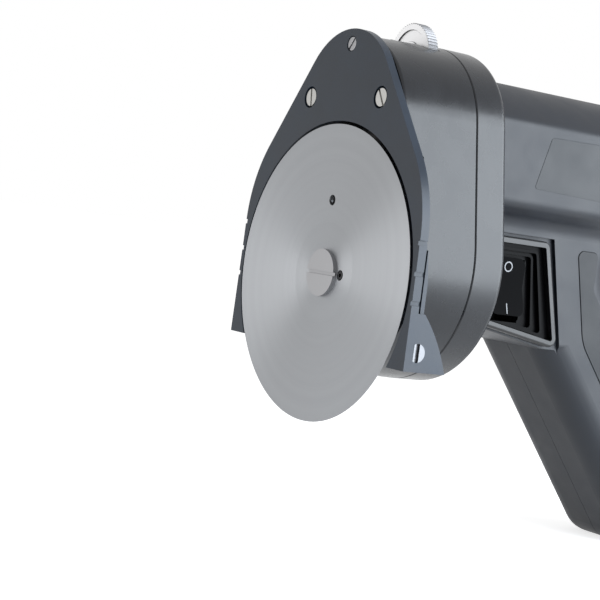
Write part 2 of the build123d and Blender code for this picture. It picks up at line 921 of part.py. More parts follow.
# Rear shell: shallower cup with the rear bearing's seat, the axle's boss and the motor's pilot hole
with BuildPart() as rear_shell:
    with BuildSketch(facing(case_back)):
        add(case_outline)
    extrude(amount=case_back - case_split)
    fillet(rear_shell.faces().sort_by(Axis.Y)[-1].edges(), radius=case_back_round)
    chamfer(rear_shell.faces().sort_by(Axis.Y)[0].edges(), length=seam_bevel)
    with BuildSketch(facing(case_inner_back)):
        add(case_hollow)
    extrude(amount=case_inner_back - case_split + overrun, mode=Mode.SUBTRACT)
    with BuildSketch(facing(case_inner_back)):
        Circle(bearing_d / 2 + boss_wall)
    extrude(amount=bearing_w)
    with BuildSketch(facing(case_inner_back)):
        with Locations((0, idler_up)):
            Circle(axle_d / 2 + boss_wall)
    extrude(amount=case_inner_back - gear_back - body_gap)
    with BuildSketch(facing(case_inner_back)):
        with Locations(case_screws):
            Circle(pillar_d / 2)
    extrude(amount=case_inner_back - case_split)
    with BuildSketch(facing(case_inner_back)):
        Circle(bearing_d / 2)
    extrude(amount=bearing_w + overrun, mode=Mode.SUBTRACT)
    with BuildSketch(facing(gear_back + body_gap + axle_seat)):
        with Locations((0, idler_up)):
            Circle(axle_d / 2 + seat_gap)
    extrude(amount=axle_seat + overrun, mode=Mode.SUBTRACT)
    with BuildSketch(facing(adjuster_end + body_gap)):
        with Locations((0, adjuster_up)):
            Circle(adjuster_bore_r)
    extrude(amount=adjuster_end + body_gap - case_split + overrun, mode=Mode.SUBTRACT)
    with BuildSketch(facing(case_back + overrun)):
        with Locations((0, pinion_up)):
            Circle(motor_pilot_d / 2)
        with Locations((-motor_screw_out, pinion_up), (motor_screw_out, pinion_up)):
            Circle(motor_screw_shank_d / 2 + seat_gap)
        with Locations(case_screws):
            Circle(case_screw_shank_d / 2 + seat_gap)
    extrude(amount=case_back - case_split + 2 * overrun, mode=Mode.SUBTRACT)
    with BuildSketch(facing(case_back + overrun)):
        with Locations(case_screws):
            Circle(case_screw_d / 2 + seat_gap)
    extrude(amount=overrun + case_screw_t, mode=Mode.SUBTRACT)
rear_shell.part.label = "rear_shell"

# Screws that close the gear case from behind
with BuildPart() as gear_case_screws:
    for turn, (out, up) in enumerate(case_screws):
        add(
            slotted_screw(
                Plane(
                    origin=(out, case_back - case_screw_t - head_reach, head_rise + up),
                    x_dir=(1, 0, 0),
                    z_dir=(0, 1, 0),
                ),
                case_screw_d,
                case_screw_t,
                case_screw_shank_d,
                case_screw_l,
                small_slot_w,
                small_slot_t,
                turn * slot_turn_step,
            )
        )
gear_case_screws.part.label = "gear_case_screws"

# Bushes in which the guide posts slide
with BuildPart() as guide_bushes:
    with BuildSketch(facing(bush_back)):
        with Locations(posts):
            Circle(bush_d / 2 - seat_gap)
            Circle(post_d / 2 + slide_gap, mode=Mode.SUBTRACT)
    extrude(amount=bush_l)
guide_bushes.part.label = "guide_bushes"

# Depth gauge: tear-drop plate, side arms and wings that run back past the gear case
with BuildPart() as guard_plate:
    with BuildSketch(facing(plate_back)):
        add(plate_outline)
    extrude(amount=plate_t)
    with BuildSketch(facing(wing_back)):
        add(plate_outline)
        add(plate_inner, mode=Mode.SUBTRACT)
    extrude(amount=wing_back - plate_back)
    with BuildSketch(beside(-plate_foot_half_w - overrun)):
        with BuildLine():
            Polyline(
                (wing_back, plate_low),
                (wing_back + overrun, plate_low - overrun),
                (wing_back + overrun, plate_top_up + overrun),
                (plate_back, plate_top_up + overrun),
                (plate_back, arm_top_up),
                (arm_back, arm_full_up),
                (arm_back, wing_top_up),
            )
            ThreePointArc((arm_back, wing_top_up), (wing_mid_back, wing_mid_up), (wing_back, plate_low))
        make_face()
    extrude(amount=2 * (plate_foot_half_w + overrun), mode=Mode.SUBTRACT)
    # the arms lie deeper than the plate's edge
    with BuildSketch(facing(wing_back)):
        with Locations((0, (plate_top_up + wing_top_up) / 2)):
            Rectangle(2 * (plate_half_w + overrun), plate_top_up - wing_top_up)
        add(plate_arm, mode=Mode.SUBTRACT)
    extrude(amount=wing_back - plate_back, mode=Mode.SUBTRACT)
    with BuildSketch(facing(plate_back + arm_line_w)):
        with Locations((0, (plate_top_up + wing_top_up) / 2)):
            Rectangle(2 * (plate_half_w + overrun), plate_top_up - wing_top_up)
        add(plate_arm_line, mode=Mode.SUBTRACT)
    extrude(amount=arm_line_w, mode=Mode.SUBTRACT)
    with BuildSketch(facing(wing_back + overrun)):
        Circle(blade_r + guard_gap)
        with Locations((0, -blade_r)):
            Rectangle(2 * (plate_foot_half_w - arm_t), 2 * (blade_r + plate_low))
    extrude(amount=wing_back + 2 * overrun, mode=Mode.SUBTRACT)
    # grooves across the plate's edge
    with BuildSketch(facing(plate_back)):
        with Locations([(0, share * blade_r) for share in notch_up_shares]):
            Rectangle(2 * (plate_half_w + overrun), notch_h)
        add(plate_groove, mode=Mode.SUBTRACT)
    extrude(amount=plate_back + overrun, mode=Mode.SUBTRACT)
    # seats of the screws in the face
    with BuildSketch(facing(plate_back + overrun)):
        with Locations(posts):
            Circle(post_screw_shank_d / 2 + seat_gap)
        with Locations((0, adjuster_up)):
            Circle(adjuster_screw_shank_d / 2 + seat_gap)
    extrude(amount=plate_back + 2 * overrun, mode=Mode.SUBTRACT)
    with BuildSketch(facing(plate_front + post_screw_sink)):
        with Locations(posts):
            Circle(post_screw_bore_d / 2)
    extrude(amount=post_screw_sink + overrun, mode=Mode.SUBTRACT)
    with BuildSketch(facing(plate_front + adjuster_screw_sink)):
        with Locations((0, adjuster_up)):
            Circle(adjuster_screw_bore_d / 2)
    extrude(amount=adjuster_screw_sink + overrun, mode=Mode.SUBTRACT)
    # D-shaped pockets in the wings
    for side in (-1, 1):
        with BuildSketch(beside(side * (plate_foot_half_w + overrun))) as pocket:
            with Locations((wing_pocket_back, wing_pocket_up)):
                Circle(wing_pocket_r)
            with Locations((plate_back - wing_pocket_r, wing_pocket_up)):
                Rectangle(2 * wing_pocket_r, 2 * wing_pocket_r, mode=Mode.SUBTRACT)
        extrude(amount=-side * (overrun + wing_pocket_t), mode=Mode.SUBTRACT)
        with BuildSketch(beside(side * (plate_half_w + overrun))):
            with Locations((wing_pocket_back, wing_pocket_up)):
                Circle(wing_screw_shank_d / 2 + seat_gap)
        extrude(amount=-side * (2 * overrun + arm_t), mode=Mode.SUBTRACT)
guard_plate.part.label = "guard_plate"

# Wing screws: slotted heads cut to the pocket's D
with BuildPart() as wing_screws:
    for side in (-1, 1):
        seat = beside(side * (plate_foot_half_w - wing_pocket_t))
        with BuildSketch(seat):
            with Locations((wing_pocket_back, wing_pocket_up)):
                Circle(wing_pocket_r - seat_gap)
            with Locations((plate_back + seat_gap - wing_pocket_r, wing_pocket_up)):
                Rectangle(2 * wing_pocket_r, 2 * wing_pocket_r, mode=Mode.SUBTRACT)
        extrude(amount=side * wing_pocket_t)
        with BuildSketch(seat):
            with Locations((wing_pocket_back, wing_pocket_up)):
                Circle(wing_screw_shank_d / 2)
        extrude(amount=-side * (arm_t - wing_pocket_t - seat_gap))
        with BuildSketch(beside(side * plate_foot_half_w)):
            with Locations((wing_pocket_back, wing_pocket_up)):
                Rectangle(wing_slot_w, 2 * wing_pocket_r)
        extrude(amount=-side * wing_slot_t, mode=Mode.SUBTRACT)
wing_screws.part.label = "wing_screws"

# Guide posts and the screws that hold them to the plate
with BuildPart() as guide_posts:
    with BuildSketch(facing(post_end)):
        with Locations(posts):
            Circle(post_d / 2)
    extrude(amount=post_end - plate_back)
    with BuildSketch(facing(plate_back + post_screw_l)):
        with Locations(posts):
            Circle(post_screw_shank_d / 2 + seat_gap)
    extrude(amount=post_screw_l + overrun, mode=Mode.SUBTRACT)
guide_posts.part.label = "guide_posts"


def plate_screw_plane(out, up, sink):
    """Plane on the floor of a screw's seat in the depth gauge."""
    return Plane(
        origin=(out, plate_front + sink - head_reach, head_rise + up),
        x_dir=(1, 0, 0),
        z_dir=(0, -1, 0),
    )


with BuildPart() as guide_post_screws:
    for (out, up), turn in zip(posts, post_slot_turns):
        add(
            slotted_screw(
                plate_screw_plane(out, up, post_screw_sink),
                post_screw_d,
                post_screw_t,
                post_screw_shank_d,
                post_screw_l,
                small_slot_w,
                small_slot_t,
                turn,
            )
        )
guide_post_screws.part.label = "guide_post_screws"

# Adjusting spindle: the rod that the thumbwheel draws back and forth
with BuildPart() as adjusting_spindle:
    with BuildSketch(facing(adjuster_end, adjuster_up)):
        Circle(adjuster_d / 2)
    extrude(amount=adjuster_end - plate_back)
    with BuildSketch(facing(plate_back + adjuster_screw_l, adjuster_up)):
        Circle(adjuster_screw_shank_d / 2 + seat_gap)
    extrude(amount=adjuster_screw_l + overrun, mode=Mode.SUBTRACT)
adjusting_spindle.part.label = "adjusting_spindle"

with BuildPart() as spindle_screw:
    add(
        slotted_screw(
            plate_screw_plane(0, adjuster_up, adjuster_screw_sink),
            adjuster_screw_d,
            adjuster_screw_t,
            adjuster_screw_shank_d,
            adjuster_screw_l,
            small_slot_w,
            small_slot_t,
            adjuster_slot_turn,
        )
    )
spindle_screw.part.label = "spindle_screw"


def knurled_face():
    """Round outline with a V groove between every two crests."""
    crest_r = wheel_d / 2
    valley_r = crest_r - wheel_groove_t
    pitch = 2 * pi / wheel_grooves
    points = []
    for groove in range(wheel_grooves):
        crest = groove * pitch
        valley = crest + pitch / 2
        points.append((crest_r * cos(crest), crest_r * sin(crest)))
        points.append((valley_r * cos(valley), valley_r * sin(valley)))
    with BuildSketch() as face:
        with BuildLine():
            Polyline(*points, close=True)
        make_face()
    return face.sketch


# Thumbwheel: knurled nut held in the shell's slot, dished on both faces
wheel_outline = knurled_face()
with BuildPart() as thumbwheel:
    with BuildSketch(facing(wheel_back, adjuster_up)):
        add(wheel_outline)
    extrude(amount=wheel_w)
    for face_back, into in ((wheel_front, -1), (wheel_back, 1)):
        with BuildSketch(facing(face_back, adjuster_up)):
            Circle(wheel_recess_d / 2)
            Circle(wheel_hub_d / 2, mode=Mode.SUBTRACT)
        extrude(amount=into * wheel_recess_t, mode=Mode.SUBTRACT)
    with BuildSketch(facing(wheel_back + overrun, adjuster_up)):
        Circle(adjuster_d / 2 + run_gap)
    extrude(amount=wheel_w + 2 * overrun, mode=Mode.SUBTRACT)
thumbwheel.part.label = "thumbwheel"


def pad_face(gap=0):
    """Outline of the soft panel in the grip's side, less a gap all round."""
    low = -head_rise + pad_foot_inset
    web = grip_line(pad_web_up, pad_inset + pad_w)
    with BuildSketch() as face:
        with BuildLine():
            Polyline(
                grip_line(low, pad_inset),
                grip_line(low, pad_inset + pad_w),
                web,
                (web[0], pad_top_up),
                (pad_top_front, pad_top_up),
                grip_line(pad_bend_up, pad_inset),
                close=True,
            )
        make_face()
        bend = face.vertices().sort_by_distance((*grip_line(pad_bend_up, pad_inset), 0))[0]
        fillet(bend, radius=pad_bend_r)
        corners = face.vertices().filter_by_position(Axis.Y, pad_web_up - overrun, pad_top_up + overrun)
        corners += face.vertices().filter_by_position(Axis.Y, low - overrun, low + overrun)
        fillet(corners, radius=pad_corner_r)
        offset(amount=-gap)
    return face.sketch


# Housing: barrel, switch block and raked grip as one form, hollow inside
pad_recess = pad_face()
pad_outline = pad_face(pad_gap)
rocker_hole_w = rocker_w + 2 * rocker_gap
rocker_hole_h = rocker_h + 2 * rocker_gap + 2 * rocker_swing
switch_w = rocker_hole_w + 2 * switch_wall
switch_h = rocker_hole_h + 2 * switch_wall
barrel_h = barrel_top_up - barrel_low_up
cap_screws = mirrored(
    [(out * barrel_half_w, barrel_low_up + up * barrel_h) for out, up in cap_screw_shares]
)
shell_screw_places = [
    (case_back + shell_screw_inset, block_screw_up),
    (block_end - shell_screw_inset, block_low_up + block_screw_rise),
]
for up, behind in grip_screw_shares:
    shell_screw_places.append(grip_line(up * head_rise, behind * grip_depth))
barrel_screw_places = [(barrel_end - shell_screw_inset, pinion_up)]
with BuildPart() as grip_form:
    with BuildSketch(beside(-block_half_w)):
        add(grip_outline)
    extrude(amount=2 * block_half_w)
    rims = grip_form.faces().sort_by(Axis.X)[0].edges() + grip_form.faces().sort_by(Axis.X)[-1].edges()
    fillet(
        rims.filter_by_position(Axis.Z, -overrun, head_rise + web_up + overrun),
        radius=grip_round,
    )

with BuildPart() as block_form:
    with BuildSketch(beside(-block_half_w)):
        with BuildLine():
            Polyline(
                (case_back, block_front_up),
                (grip_front, block_low_up),
                (block_end, block_low_up),
                (block_end, crease_low_up + block_round),
                (case_back, crease_low_up + block_round),
                close=True,
            )
        make_face()
    extrude(amount=2 * block_half_w)
    rims = block_form.faces().filter_by(Axis.X).edges().group_by(Axis.Z)
    fillet(rims[0] + rims[1], radius=block_round)

with BuildPart() as housing_form:
    with BuildSketch(facing(barrel_end)):
        add(barrel_outline)
    extrude(amount=barrel_end - case_back)
    add(block_form.part)
    add(grip_form.part)
    corners = housing_form.edges().filter_by(Axis.Y).filter_by_position(
        Axis.Z, head_rise + barrel_low_up, head_rise + crease_low_up - crease_r
    )
    fillet(corners, radius=block_blend)
    # room for the motor, the switch and the leads
    with BuildSketch(facing(barrel_end + overrun, pinion_up)):
        Circle(motor_d / 2 + seat_gap)
    extrude(amount=barrel_end - case_back + 2 * overrun, mode=Mode.SUBTRACT)
    with BuildSketch(beside(-block_half_w + grip_wall)):
        add(grip_outline)
        offset(amount=-grip_wall)
    extrude(amount=2 * (block_half_w - grip_wall), mode=Mode.SUBTRACT)
    with BuildSketch(beside(-block_half_w + block_wall)):
        with BuildLine():
            Polyline(
                (case_back + block_wall, block_front_up + block_floor),
                (grip_front, block_low_up + block_floor),
                (block_end, block_low_up + block_floor),
                (block_end, barrel_low_up + block_wall),
                (case_back + block_wall, barrel_low_up + block_wall),
                close=True,
            )
        make_face()
    extrude(amount=2 * (block_half_w - block_wall), mode=Mode.SUBTRACT)
    # the inlet's bore and the soft panels' recesses
    with BuildSketch(Plane.XY.offset(-overrun)):
        Circle(gland_d / 2 + seat_gap)
    extrude(amount=gland_l + overrun, mode=Mode.SUBTRACT)
    for side in (-1, 1):
        with BuildSketch(beside(side * (block_half_w - pad_sink))):
            add(pad_recess)
        extrude(amount=side * (pad_sink + overrun), mode=Mode.SUBTRACT)
    # blank label fields in the barrel's sides
    for side in (-1, 1):
        with BuildSketch(beside(side * (barrel_half_w - label_t))):
            with BuildLine() as border:
                Polyline(
                    (label_front, label_low_up),
                    (label_front + label_l, label_low_up - label_flare),
                    (label_front + label_lean + label_l, label_top_up + label_flare),
                    (label_front + label_lean, label_top_up),
                    close=True,
                )
                fillet(border.vertices(), radius=label_corner_r)
            make_face()
        extrude(amount=side * (label_t + overrun), mode=Mode.SUBTRACT)
    # pillars for the screws that join the two halves
    with BuildSketch(beside(-block_half_w + block_wall)):
        with Locations(shell_screw_places):
            Circle(shell_pillar_d / 2)
    extrude(amount=2 * (block_half_w - block_wall))
    with BuildSketch(beside(-barrel_half_w + block_wall)):
        with Locations(barrel_screw_places):
            Circle(shell_pillar_d / 2)
    extrude(amount=2 * (barrel_half_w - block_wall))
    with BuildSketch(facing(barrel_end + overrun)):
        with Locations(cap_screws):
            Circle(cap_screw_shank_d / 2 + seat_gap)
    extrude(amount=cap_screw_l + overrun, mode=Mode.SUBTRACT)

with BuildPart() as housing_right:
    add(housing_form.part)
    split(bisect_by=Plane.YZ.offset(seam_gap / 2), keep=Keep.TOP)
    with BuildSketch(beside(switch_out - switch_depth - seat_gap)):
        with Locations((switch_back, switch_up)):
            Rectangle(switch_w + 2 * seat_gap, switch_h + 2 * seat_gap)
    extrude(amount=switch_depth + well_t + seat_gap + overrun, mode=Mode.SUBTRACT)
    # the switch stands in a well whose rear side leans with the bezel
    with BuildSketch(beside(switch_out)):
        with BuildLine():
            Polyline(
                (case_back - overrun, well_top_up),
                (bezel_top_back + well_gap, well_top_up),
                (bezel_low_back + well_gap, block_low_up - overrun),
                (case_back - overrun, block_low_up - overrun),
                close=True,
            )
        make_face()
    extrude(amount=well_t + overrun, mode=Mode.SUBTRACT)
    with BuildSketch(beside(0)):
        with Locations(shell_screw_places + barrel_screw_places):
            Circle(shell_screw_shank_d / 2 + seat_gap)
    extrude(amount=shell_screw_bite + overrun, mode=Mode.SUBTRACT)
housing_right.part.label = "housing_right"

with BuildPart() as housing_left:
    add(housing_form.part)
    split(bisect_by=Plane.YZ.offset(-seam_gap / 2), keep=Keep.BOTTOM)
    with BuildSketch(beside(overrun)):
        with Locations(shell_screw_places + barrel_screw_places):
            Circle(shell_screw_shank_d / 2 + seat_gap)
    extrude(amount=-barrel_half_w - 2 * overrun, mode=Mode.SUBTRACT)
    for half_w, places in ((block_half_w, shell_screw_places), (barrel_half_w, barrel_screw_places)):
        with BuildSketch(beside(-half_w - overrun)):
            with Locations(places):
                Circle(shell_screw_d / 2 + seat_gap)
        extrude(amount=overrun + shell_screw_sink + shell_screw_t, mode=Mode.SUBTRACT)
housing_left.part.label = "housing_left"

# Screws that join the two housing halves, driven from the left
with BuildPart() as housing_screws:
    for half_w, places in ((block_half_w, shell_screw_places), (barrel_half_w, barrel_screw_places)):
        seat_out = half_w - shell_screw_sink - shell_screw_t
        for turn, (back, up) in enumerate(places):
            add(
                slotted_screw(
                    Plane(
                        origin=(-seat_out, back - head_reach, head_rise + up),
                        x_dir=(0, -1, 0),
                        z_dir=(-1, 0, 0),
                    ),
                    shell_screw_d,
                    shell_screw_t,
                    shell_screw_shank_d,
                    seat_out + shell_screw_bite,
                    small_slot_w,
                    small_slot_t,
                    turn * slot_turn_step,
                )
            )
housing_screws.part.label = "housing_screws"

# Soft panels let into both sides of the grip
with BuildPart() as grip_pad_right:
    with BuildSketch(beside(block_half_w - pad_sink)):
        add(pad_outline)
    extrude(amount=pad_t)
grip_pad_right.part.label = "grip_pad_right"

with BuildPart() as grip_pad_left:
    with BuildSketch(beside(-block_half_w + pad_sink)):
        add(pad_outline)
    extrude(amount=-pad_t)
grip_pad_left.part.label = "grip_pad_left"

# Rear cap: closes the barrel, with cooling slots
with BuildPart() as rear_cap:
    with BuildSketch(facing(barrel_end + cap_t)):
        add(barrel_outline)
    extrude(amount=cap_t - seam_gap)
    fillet(rear_cap.faces().sort_by(Axis.Y)[-1].edges(), radius=cap_round)
    with BuildSketch(facing(barrel_end + cap_t - cap_wall)):
        add(barrel_outline)
        offset(amount=-cap_wall)
    extrude(amount=cap_t, mode=Mode.SUBTRACT)
    with BuildSketch(facing(barrel_end + cap_t - cap_wall)):
        with Locations(cap_screws):
            Circle(cap_pillar_d / 2)
    extrude(amount=cap_t - cap_wall - seam_gap)
    with BuildSketch(facing(barrel_end + cap_t + overrun, pinion_up)):
        with GridLocations(0, vent_pitch, 1, vent_count):
            SlotOverall(vent_w, vent_h)
    extrude(amount=cap_wall + 2 * overrun, mode=Mode.SUBTRACT)
    with BuildSketch(facing(barrel_end + cap_t + overrun)):
        with Locations(cap_screws):
            Circle(cap_screw_shank_d / 2 + seat_gap)
    extrude(amount=cap_t + 2 * overrun, mode=Mode.SUBTRACT)
    with BuildSketch(facing(barrel_end + cap_t + overrun)):
        with Locations(cap_screws):
            Circle(cap_screw_d / 2 + seat_gap)
    extrude(amount=cap_screw_t + overrun, mode=Mode.SUBTRACT)
rear_cap.part.label = "rear_cap"

with BuildPart() as rear_cap_screws:
    for turn, (out, up) in enumerate(cap_screws):
        add(
            slotted_screw(
                Plane(
                    origin=(out, barrel_end + cap_t - cap_screw_t - head_reach, head_rise + up),
                    x_dir=(1, 0, 0),
                    z_dir=(0, 1, 0),
                ),
                cap_screw_d,
                cap_screw_t,
                cap_screw_shank_d,
                cap_screw_l,
                small_slot_w,
                small_slot_t,
                turn * slot_turn_step,
            )
        )
rear_cap_screws.part.label = "rear_cap_screws"

# Cable gland: sleeve through the foot, with a collar inside
with BuildPart() as cable_gland:
    with BuildSketch(Plane.XY):
        Circle(gland_d / 2)
    extrude(amount=gland_l)
    with BuildSketch(Plane.XY.offset(grip_wall)):
        Circle(gland_collar_d / 2)
    extrude(amount=gland_collar_t)
    with BuildSketch(Plane.XY.offset(-overrun)):
        Circle(gland_bore_d / 2)
    extrude(amount=gland_l + 2 * overrun, mode=Mode.SUBTRACT)
cable_gland.part.label = "cable_gland"


def bezel_face(inset=0):
    """Outline of the switch's bezel: its rear side leans back, its foot rises to the front."""
    with BuildSketch() as face:
        with BuildLine():
            Polyline(
                (bezel_front, bezel_front_up),
                (bezel_low_back, bezel_low_up),
                (bezel_top_back, bezel_top_up),
                (bezel_front, bezel_top_up),
                close=True,
            )
        make_face()
        fillet(face.vertices(), radius=bezel_corner_r)
        offset(amount=-inset)
    return face.sketch


def boot_ring(share, inset=0):
    """Ring line of the boot, at a share of the way from the rocker's hole out to the bezel."""
    half_w = rocker_hole_w / 2
    half_h = rocker_hole_h / 2
    rim = bezel_rim_w
    ways = (
        (switch_back - half_w, switch_up - half_h, bezel_front + rim, bezel_front_up + rim),
        (switch_back + half_w, switch_up - half_h, bezel_low_back - rim, bezel_low_up + rim),
        (switch_back + half_w, switch_up + half_h, bezel_top_back - rim, bezel_top_up - rim),
        (switch_back - half_w, switch_up + half_h, bezel_front + rim, bezel_top_up - rim),
    )
    corners = []
    for back, up, far_back, far_up in ways:
        corners.append((back + share * (far_back - back), up + share * (far_up - up)))
    with BuildSketch() as face:
        with BuildLine():
            Polyline(*corners, close=True)
        make_face()
        fillet(face.vertices(), radius=boot_corner_r)
        offset(amount=-inset)
    return face.sketch


# Switch: raised bezel, rubber boot with nested ribs, cup body and rocker
bezel_outline = bezel_face()
bezel_inner = bezel_face(bezel_rim_w)
boot_outline = bezel_face(bezel_rim_w + seat_gap)
with BuildPart() as switch_bezel:
    with BuildSketch(beside(switch_out)):
        add(bezel_outline)
    extrude(amount=bezel_t)
    fillet(switch_bezel.faces().sort_by(Axis.X)[-1].edges(), radius=bezel_round)
    with BuildSketch(beside(switch_out - overrun)):
        add(bezel_inner)
    extrude(amount=bezel_t + 2 * overrun, mode=Mode.SUBTRACT)
switch_bezel.part.label = "switch_bezel"

with BuildPart() as switch_boot:
    with BuildSketch(beside(switch_out)):
        add(boot_outline)
    extrude(amount=boot_t)
    for share in boot_rib_shares:
        with BuildSketch(beside(switch_out + boot_t)):
            add(boot_ring(share))
            add(boot_ring(share, boot_rib_w), mode=Mode.SUBTRACT)
        extrude(amount=boot_rib_t)
    with BuildSketch(beside(switch_out - overrun)):
        with Locations((switch_back, switch_up)):
            Rectangle(rocker_hole_w, rocker_hole_h)
    extrude(amount=boot_t + boot_rib_t + 2 * overrun, mode=Mode.SUBTRACT)
switch_boot.part.label = "switch_boot"

rocker_pivot = (switch_out - rocker_pivot_in, head_rise + switch_up)
trunnion_reach = rocker_w + 2 * trunnion_l
with BuildPart() as switch_body:
    with BuildSketch(beside(switch_out - switch_depth)):
        with Locations((switch_back, switch_up)):
            Rectangle(switch_w, switch_h)
    extrude(amount=switch_depth)
    with BuildSketch(beside(switch_out - switch_cup_in)):
        with Locations((switch_back, switch_up)):
            Rectangle(rocker_hole_w, rocker_hole_h)
    extrude(amount=switch_cup_in + overrun, mode=Mode.SUBTRACT)
    with BuildSketch(facing(switch_back + trunnion_reach / 2 + run_gap, switch_up)):
        with Locations((rocker_pivot[0], 0)):
            Circle(trunnion_d / 2 + run_gap)
    extrude(amount=trunnion_reach + 2 * run_gap, mode=Mode.SUBTRACT)
    with BuildSketch(beside(switch_out - switch_depth)):
        with Locations((switch_back, switch_up)):
            with GridLocations(0, terminal_pitch, 1, 3):
                Rectangle(terminal_w, terminal_t)
    extrude(amount=-terminal_l)
switch_body.part.label = "switch_body"

tip = (rocker_pivot_in + rocker_reach, rocker_h / 2)
with BuildPart() as switch_rocker:
    with BuildSketch(
        Plane(
            origin=(rocker_pivot[0], switch_back + rocker_w / 2 - head_reach, rocker_pivot[1]),
            x_dir=(cos(radians(rocker_tilt)), 0, sin(radians(rocker_tilt))),
            z_dir=(0, -1, 0),
        )
    ):
        with BuildLine():
            Polyline(
                tip,
                (tip[0] - rocker_dip, 0),
                (tip[0], -tip[1]),
                (rocker_pivot_in, -tip[1] + rocker_shoulder),
                (rocker_pivot_in - rocker_keel_in, -rocker_keel_h / 2),
                (rocker_pivot_in - rocker_keel_in, rocker_keel_h / 2),
                (rocker_pivot_in, tip[1] - rocker_shoulder),
                close=True,
            )
        make_face()
    extrude(amount=rocker_w)
    corners = switch_rocker.edges().filter_by(Axis.Y, reverse=True).group_by(Axis.Z)
    fillet(corners[0] + corners[-1], radius=rocker_corner_r)
    with BuildSketch(facing(switch_back + trunnion_reach / 2, switch_up)):
        with Locations((rocker_pivot[0], 0)):
            Circle(trunnion_d / 2)
    extrude(amount=trunnion_reach)
switch_rocker.part.label = "switch_rocker"

nodes = [
    blade,
    blade_screw,
    drive_pin,
    blade_spindle,
    front_bearing,
    rear_bearing,
    spindle_seal,
    output_gear,
    idler_gear,
    idler_bush,
    idler_axle,
    motor_pinion,
    motor_shaft,
    rotor_core,
    commutator,
    cooling_fan,
    motor_front_cap,
    motor_can,
    motor_magnets,
    motor_rear_cap,
    motor_brushes,
    motor_screws,
    front_shell,
    rear_shell,
    gear_case_screws,
    guide_bushes,
    guard_plate,
    wing_screws,
    guide_posts,
    guide_post_screws,
    adjusting_spindle,
    spindle_screw,
    thumbwheel,
    housing_right,
    housing_left,
    housing_screws,
    grip_pad_right,
    grip_pad_left,
    rear_cap,
    rear_cap_screws,
    cable_gland,
    switch_bezel,
    switch_boot,
    switch_body,
    switch_rocker,
]
for node in nodes:
    export_step(node.part, "parts/" + node.part.label + ".step")
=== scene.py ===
# %% [markdown]
# Electric kebab knife, dressed for a studio picture.
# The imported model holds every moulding, gear and screw at its real size. This lesson keeps those shapes,
# rounds the edges that catch the light, adds the switch's two signs and the blank labels, and gives each
# surface the finish of the real one.

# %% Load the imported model
import bpy
import math
from mathutils import Matrix, Vector


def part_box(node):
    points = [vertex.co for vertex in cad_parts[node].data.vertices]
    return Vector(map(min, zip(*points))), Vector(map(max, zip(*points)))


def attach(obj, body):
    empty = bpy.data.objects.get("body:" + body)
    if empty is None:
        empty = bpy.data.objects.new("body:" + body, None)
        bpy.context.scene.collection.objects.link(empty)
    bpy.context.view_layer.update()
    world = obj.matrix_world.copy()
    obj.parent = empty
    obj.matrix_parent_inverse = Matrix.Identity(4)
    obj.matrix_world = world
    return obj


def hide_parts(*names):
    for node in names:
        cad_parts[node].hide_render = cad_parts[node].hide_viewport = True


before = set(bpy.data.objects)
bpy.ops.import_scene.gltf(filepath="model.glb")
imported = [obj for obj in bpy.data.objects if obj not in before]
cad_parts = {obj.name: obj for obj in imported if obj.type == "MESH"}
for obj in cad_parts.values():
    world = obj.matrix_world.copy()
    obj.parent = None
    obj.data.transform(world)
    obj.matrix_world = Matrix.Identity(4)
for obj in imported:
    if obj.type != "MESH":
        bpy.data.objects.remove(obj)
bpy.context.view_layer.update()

mm = 0.001

# %% [markdown]
# Places come from the model, not from a ruler. The blade's box gives the centre that most of this tool is
# set out from, and its front gives the cutting plane.

# %% Places read from the model
blade_low, blade_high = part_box("blade")
blade_centre = Vector(((blade_low.x + blade_high.x) / 2, blade_low.y, (blade_low.z + blade_high.z) / 2))
blade_r = (blade_high.x - blade_low.x) / 2
print("blade centre:", [round(value / mm, 2) for value in blade_centre], "mm")
print("blade radius:", round(blade_r / mm, 2), "mm")

# %% [markdown]
# The camera stands to the right of the blade, nearly level with it and far enough away to flatten the
# perspective, as in a catalogue picture. Azimuth, elevation and roll turn it in that order.

# %% Camera
camera_azimuth = math.radians(57.15)
camera_elevation = math.radians(2.18)
camera_roll = math.radians(7.77)
camera_offset = Vector((455.4, -300.3, 10.65)) * mm
camera_lens_mm = 97.76
sensor_mm = 36.0

camera_data = bpy.data.cameras.new("camera")
camera_data.lens = camera_lens_mm
camera_data.sensor_width = sensor_mm
camera = bpy.data.objects.new("camera", camera_data)
bpy.context.scene.collection.objects.link(camera)
turn = Matrix.Rotation(camera_azimuth, 4, "Z")
tip = Matrix.Rotation(math.pi / 2 - camera_elevation, 4, "X")
roll = Matrix.Rotation(camera_roll, 4, "Z")
camera.matrix_world = Matrix.Translation(blade_centre + camera_offset) @ turn @ tip @ roll
bpy.context.scene.camera = camera
print("camera at", [round(value, 3) for value in camera.matrix_world.translation])

# %% [markdown]
# Colours are written as the eye reads them, in sRGB hex, and Blender works in linear light. One function
# turns one into the other, with the numbers of the sRGB curve. One more adds a node with its settings and
# links, and a third starts a material.

# %% Colour and node helpers
def linear(hex_colour):
    """Linear RGBA of an sRGB colour written as six hex digits."""
    channels = []
    for start in (0, 2, 4):
        value = int(hex_colour[start:start + 2], 16) / 255
        channels.append(value / 12.92 if value <= 0.04045 else ((value + 0.055) / 1.055) ** 2.4)
    return (*channels, 1.0)


def node(tree, kind, settings=None, inputs=None):
    """Add a node. Settings are its properties. An input is a value, or another node's output to link."""
    made = tree.nodes.new(kind)
    for name, value in (settings or {}).items():
        setattr(made, name, value)
    for name, value in (inputs or {}).items():
        if isinstance(value, bpy.types.NodeSocket):
            tree.links.new(value, made.inputs[name])
        else:
            made.inputs[name].default_value = value
    return made


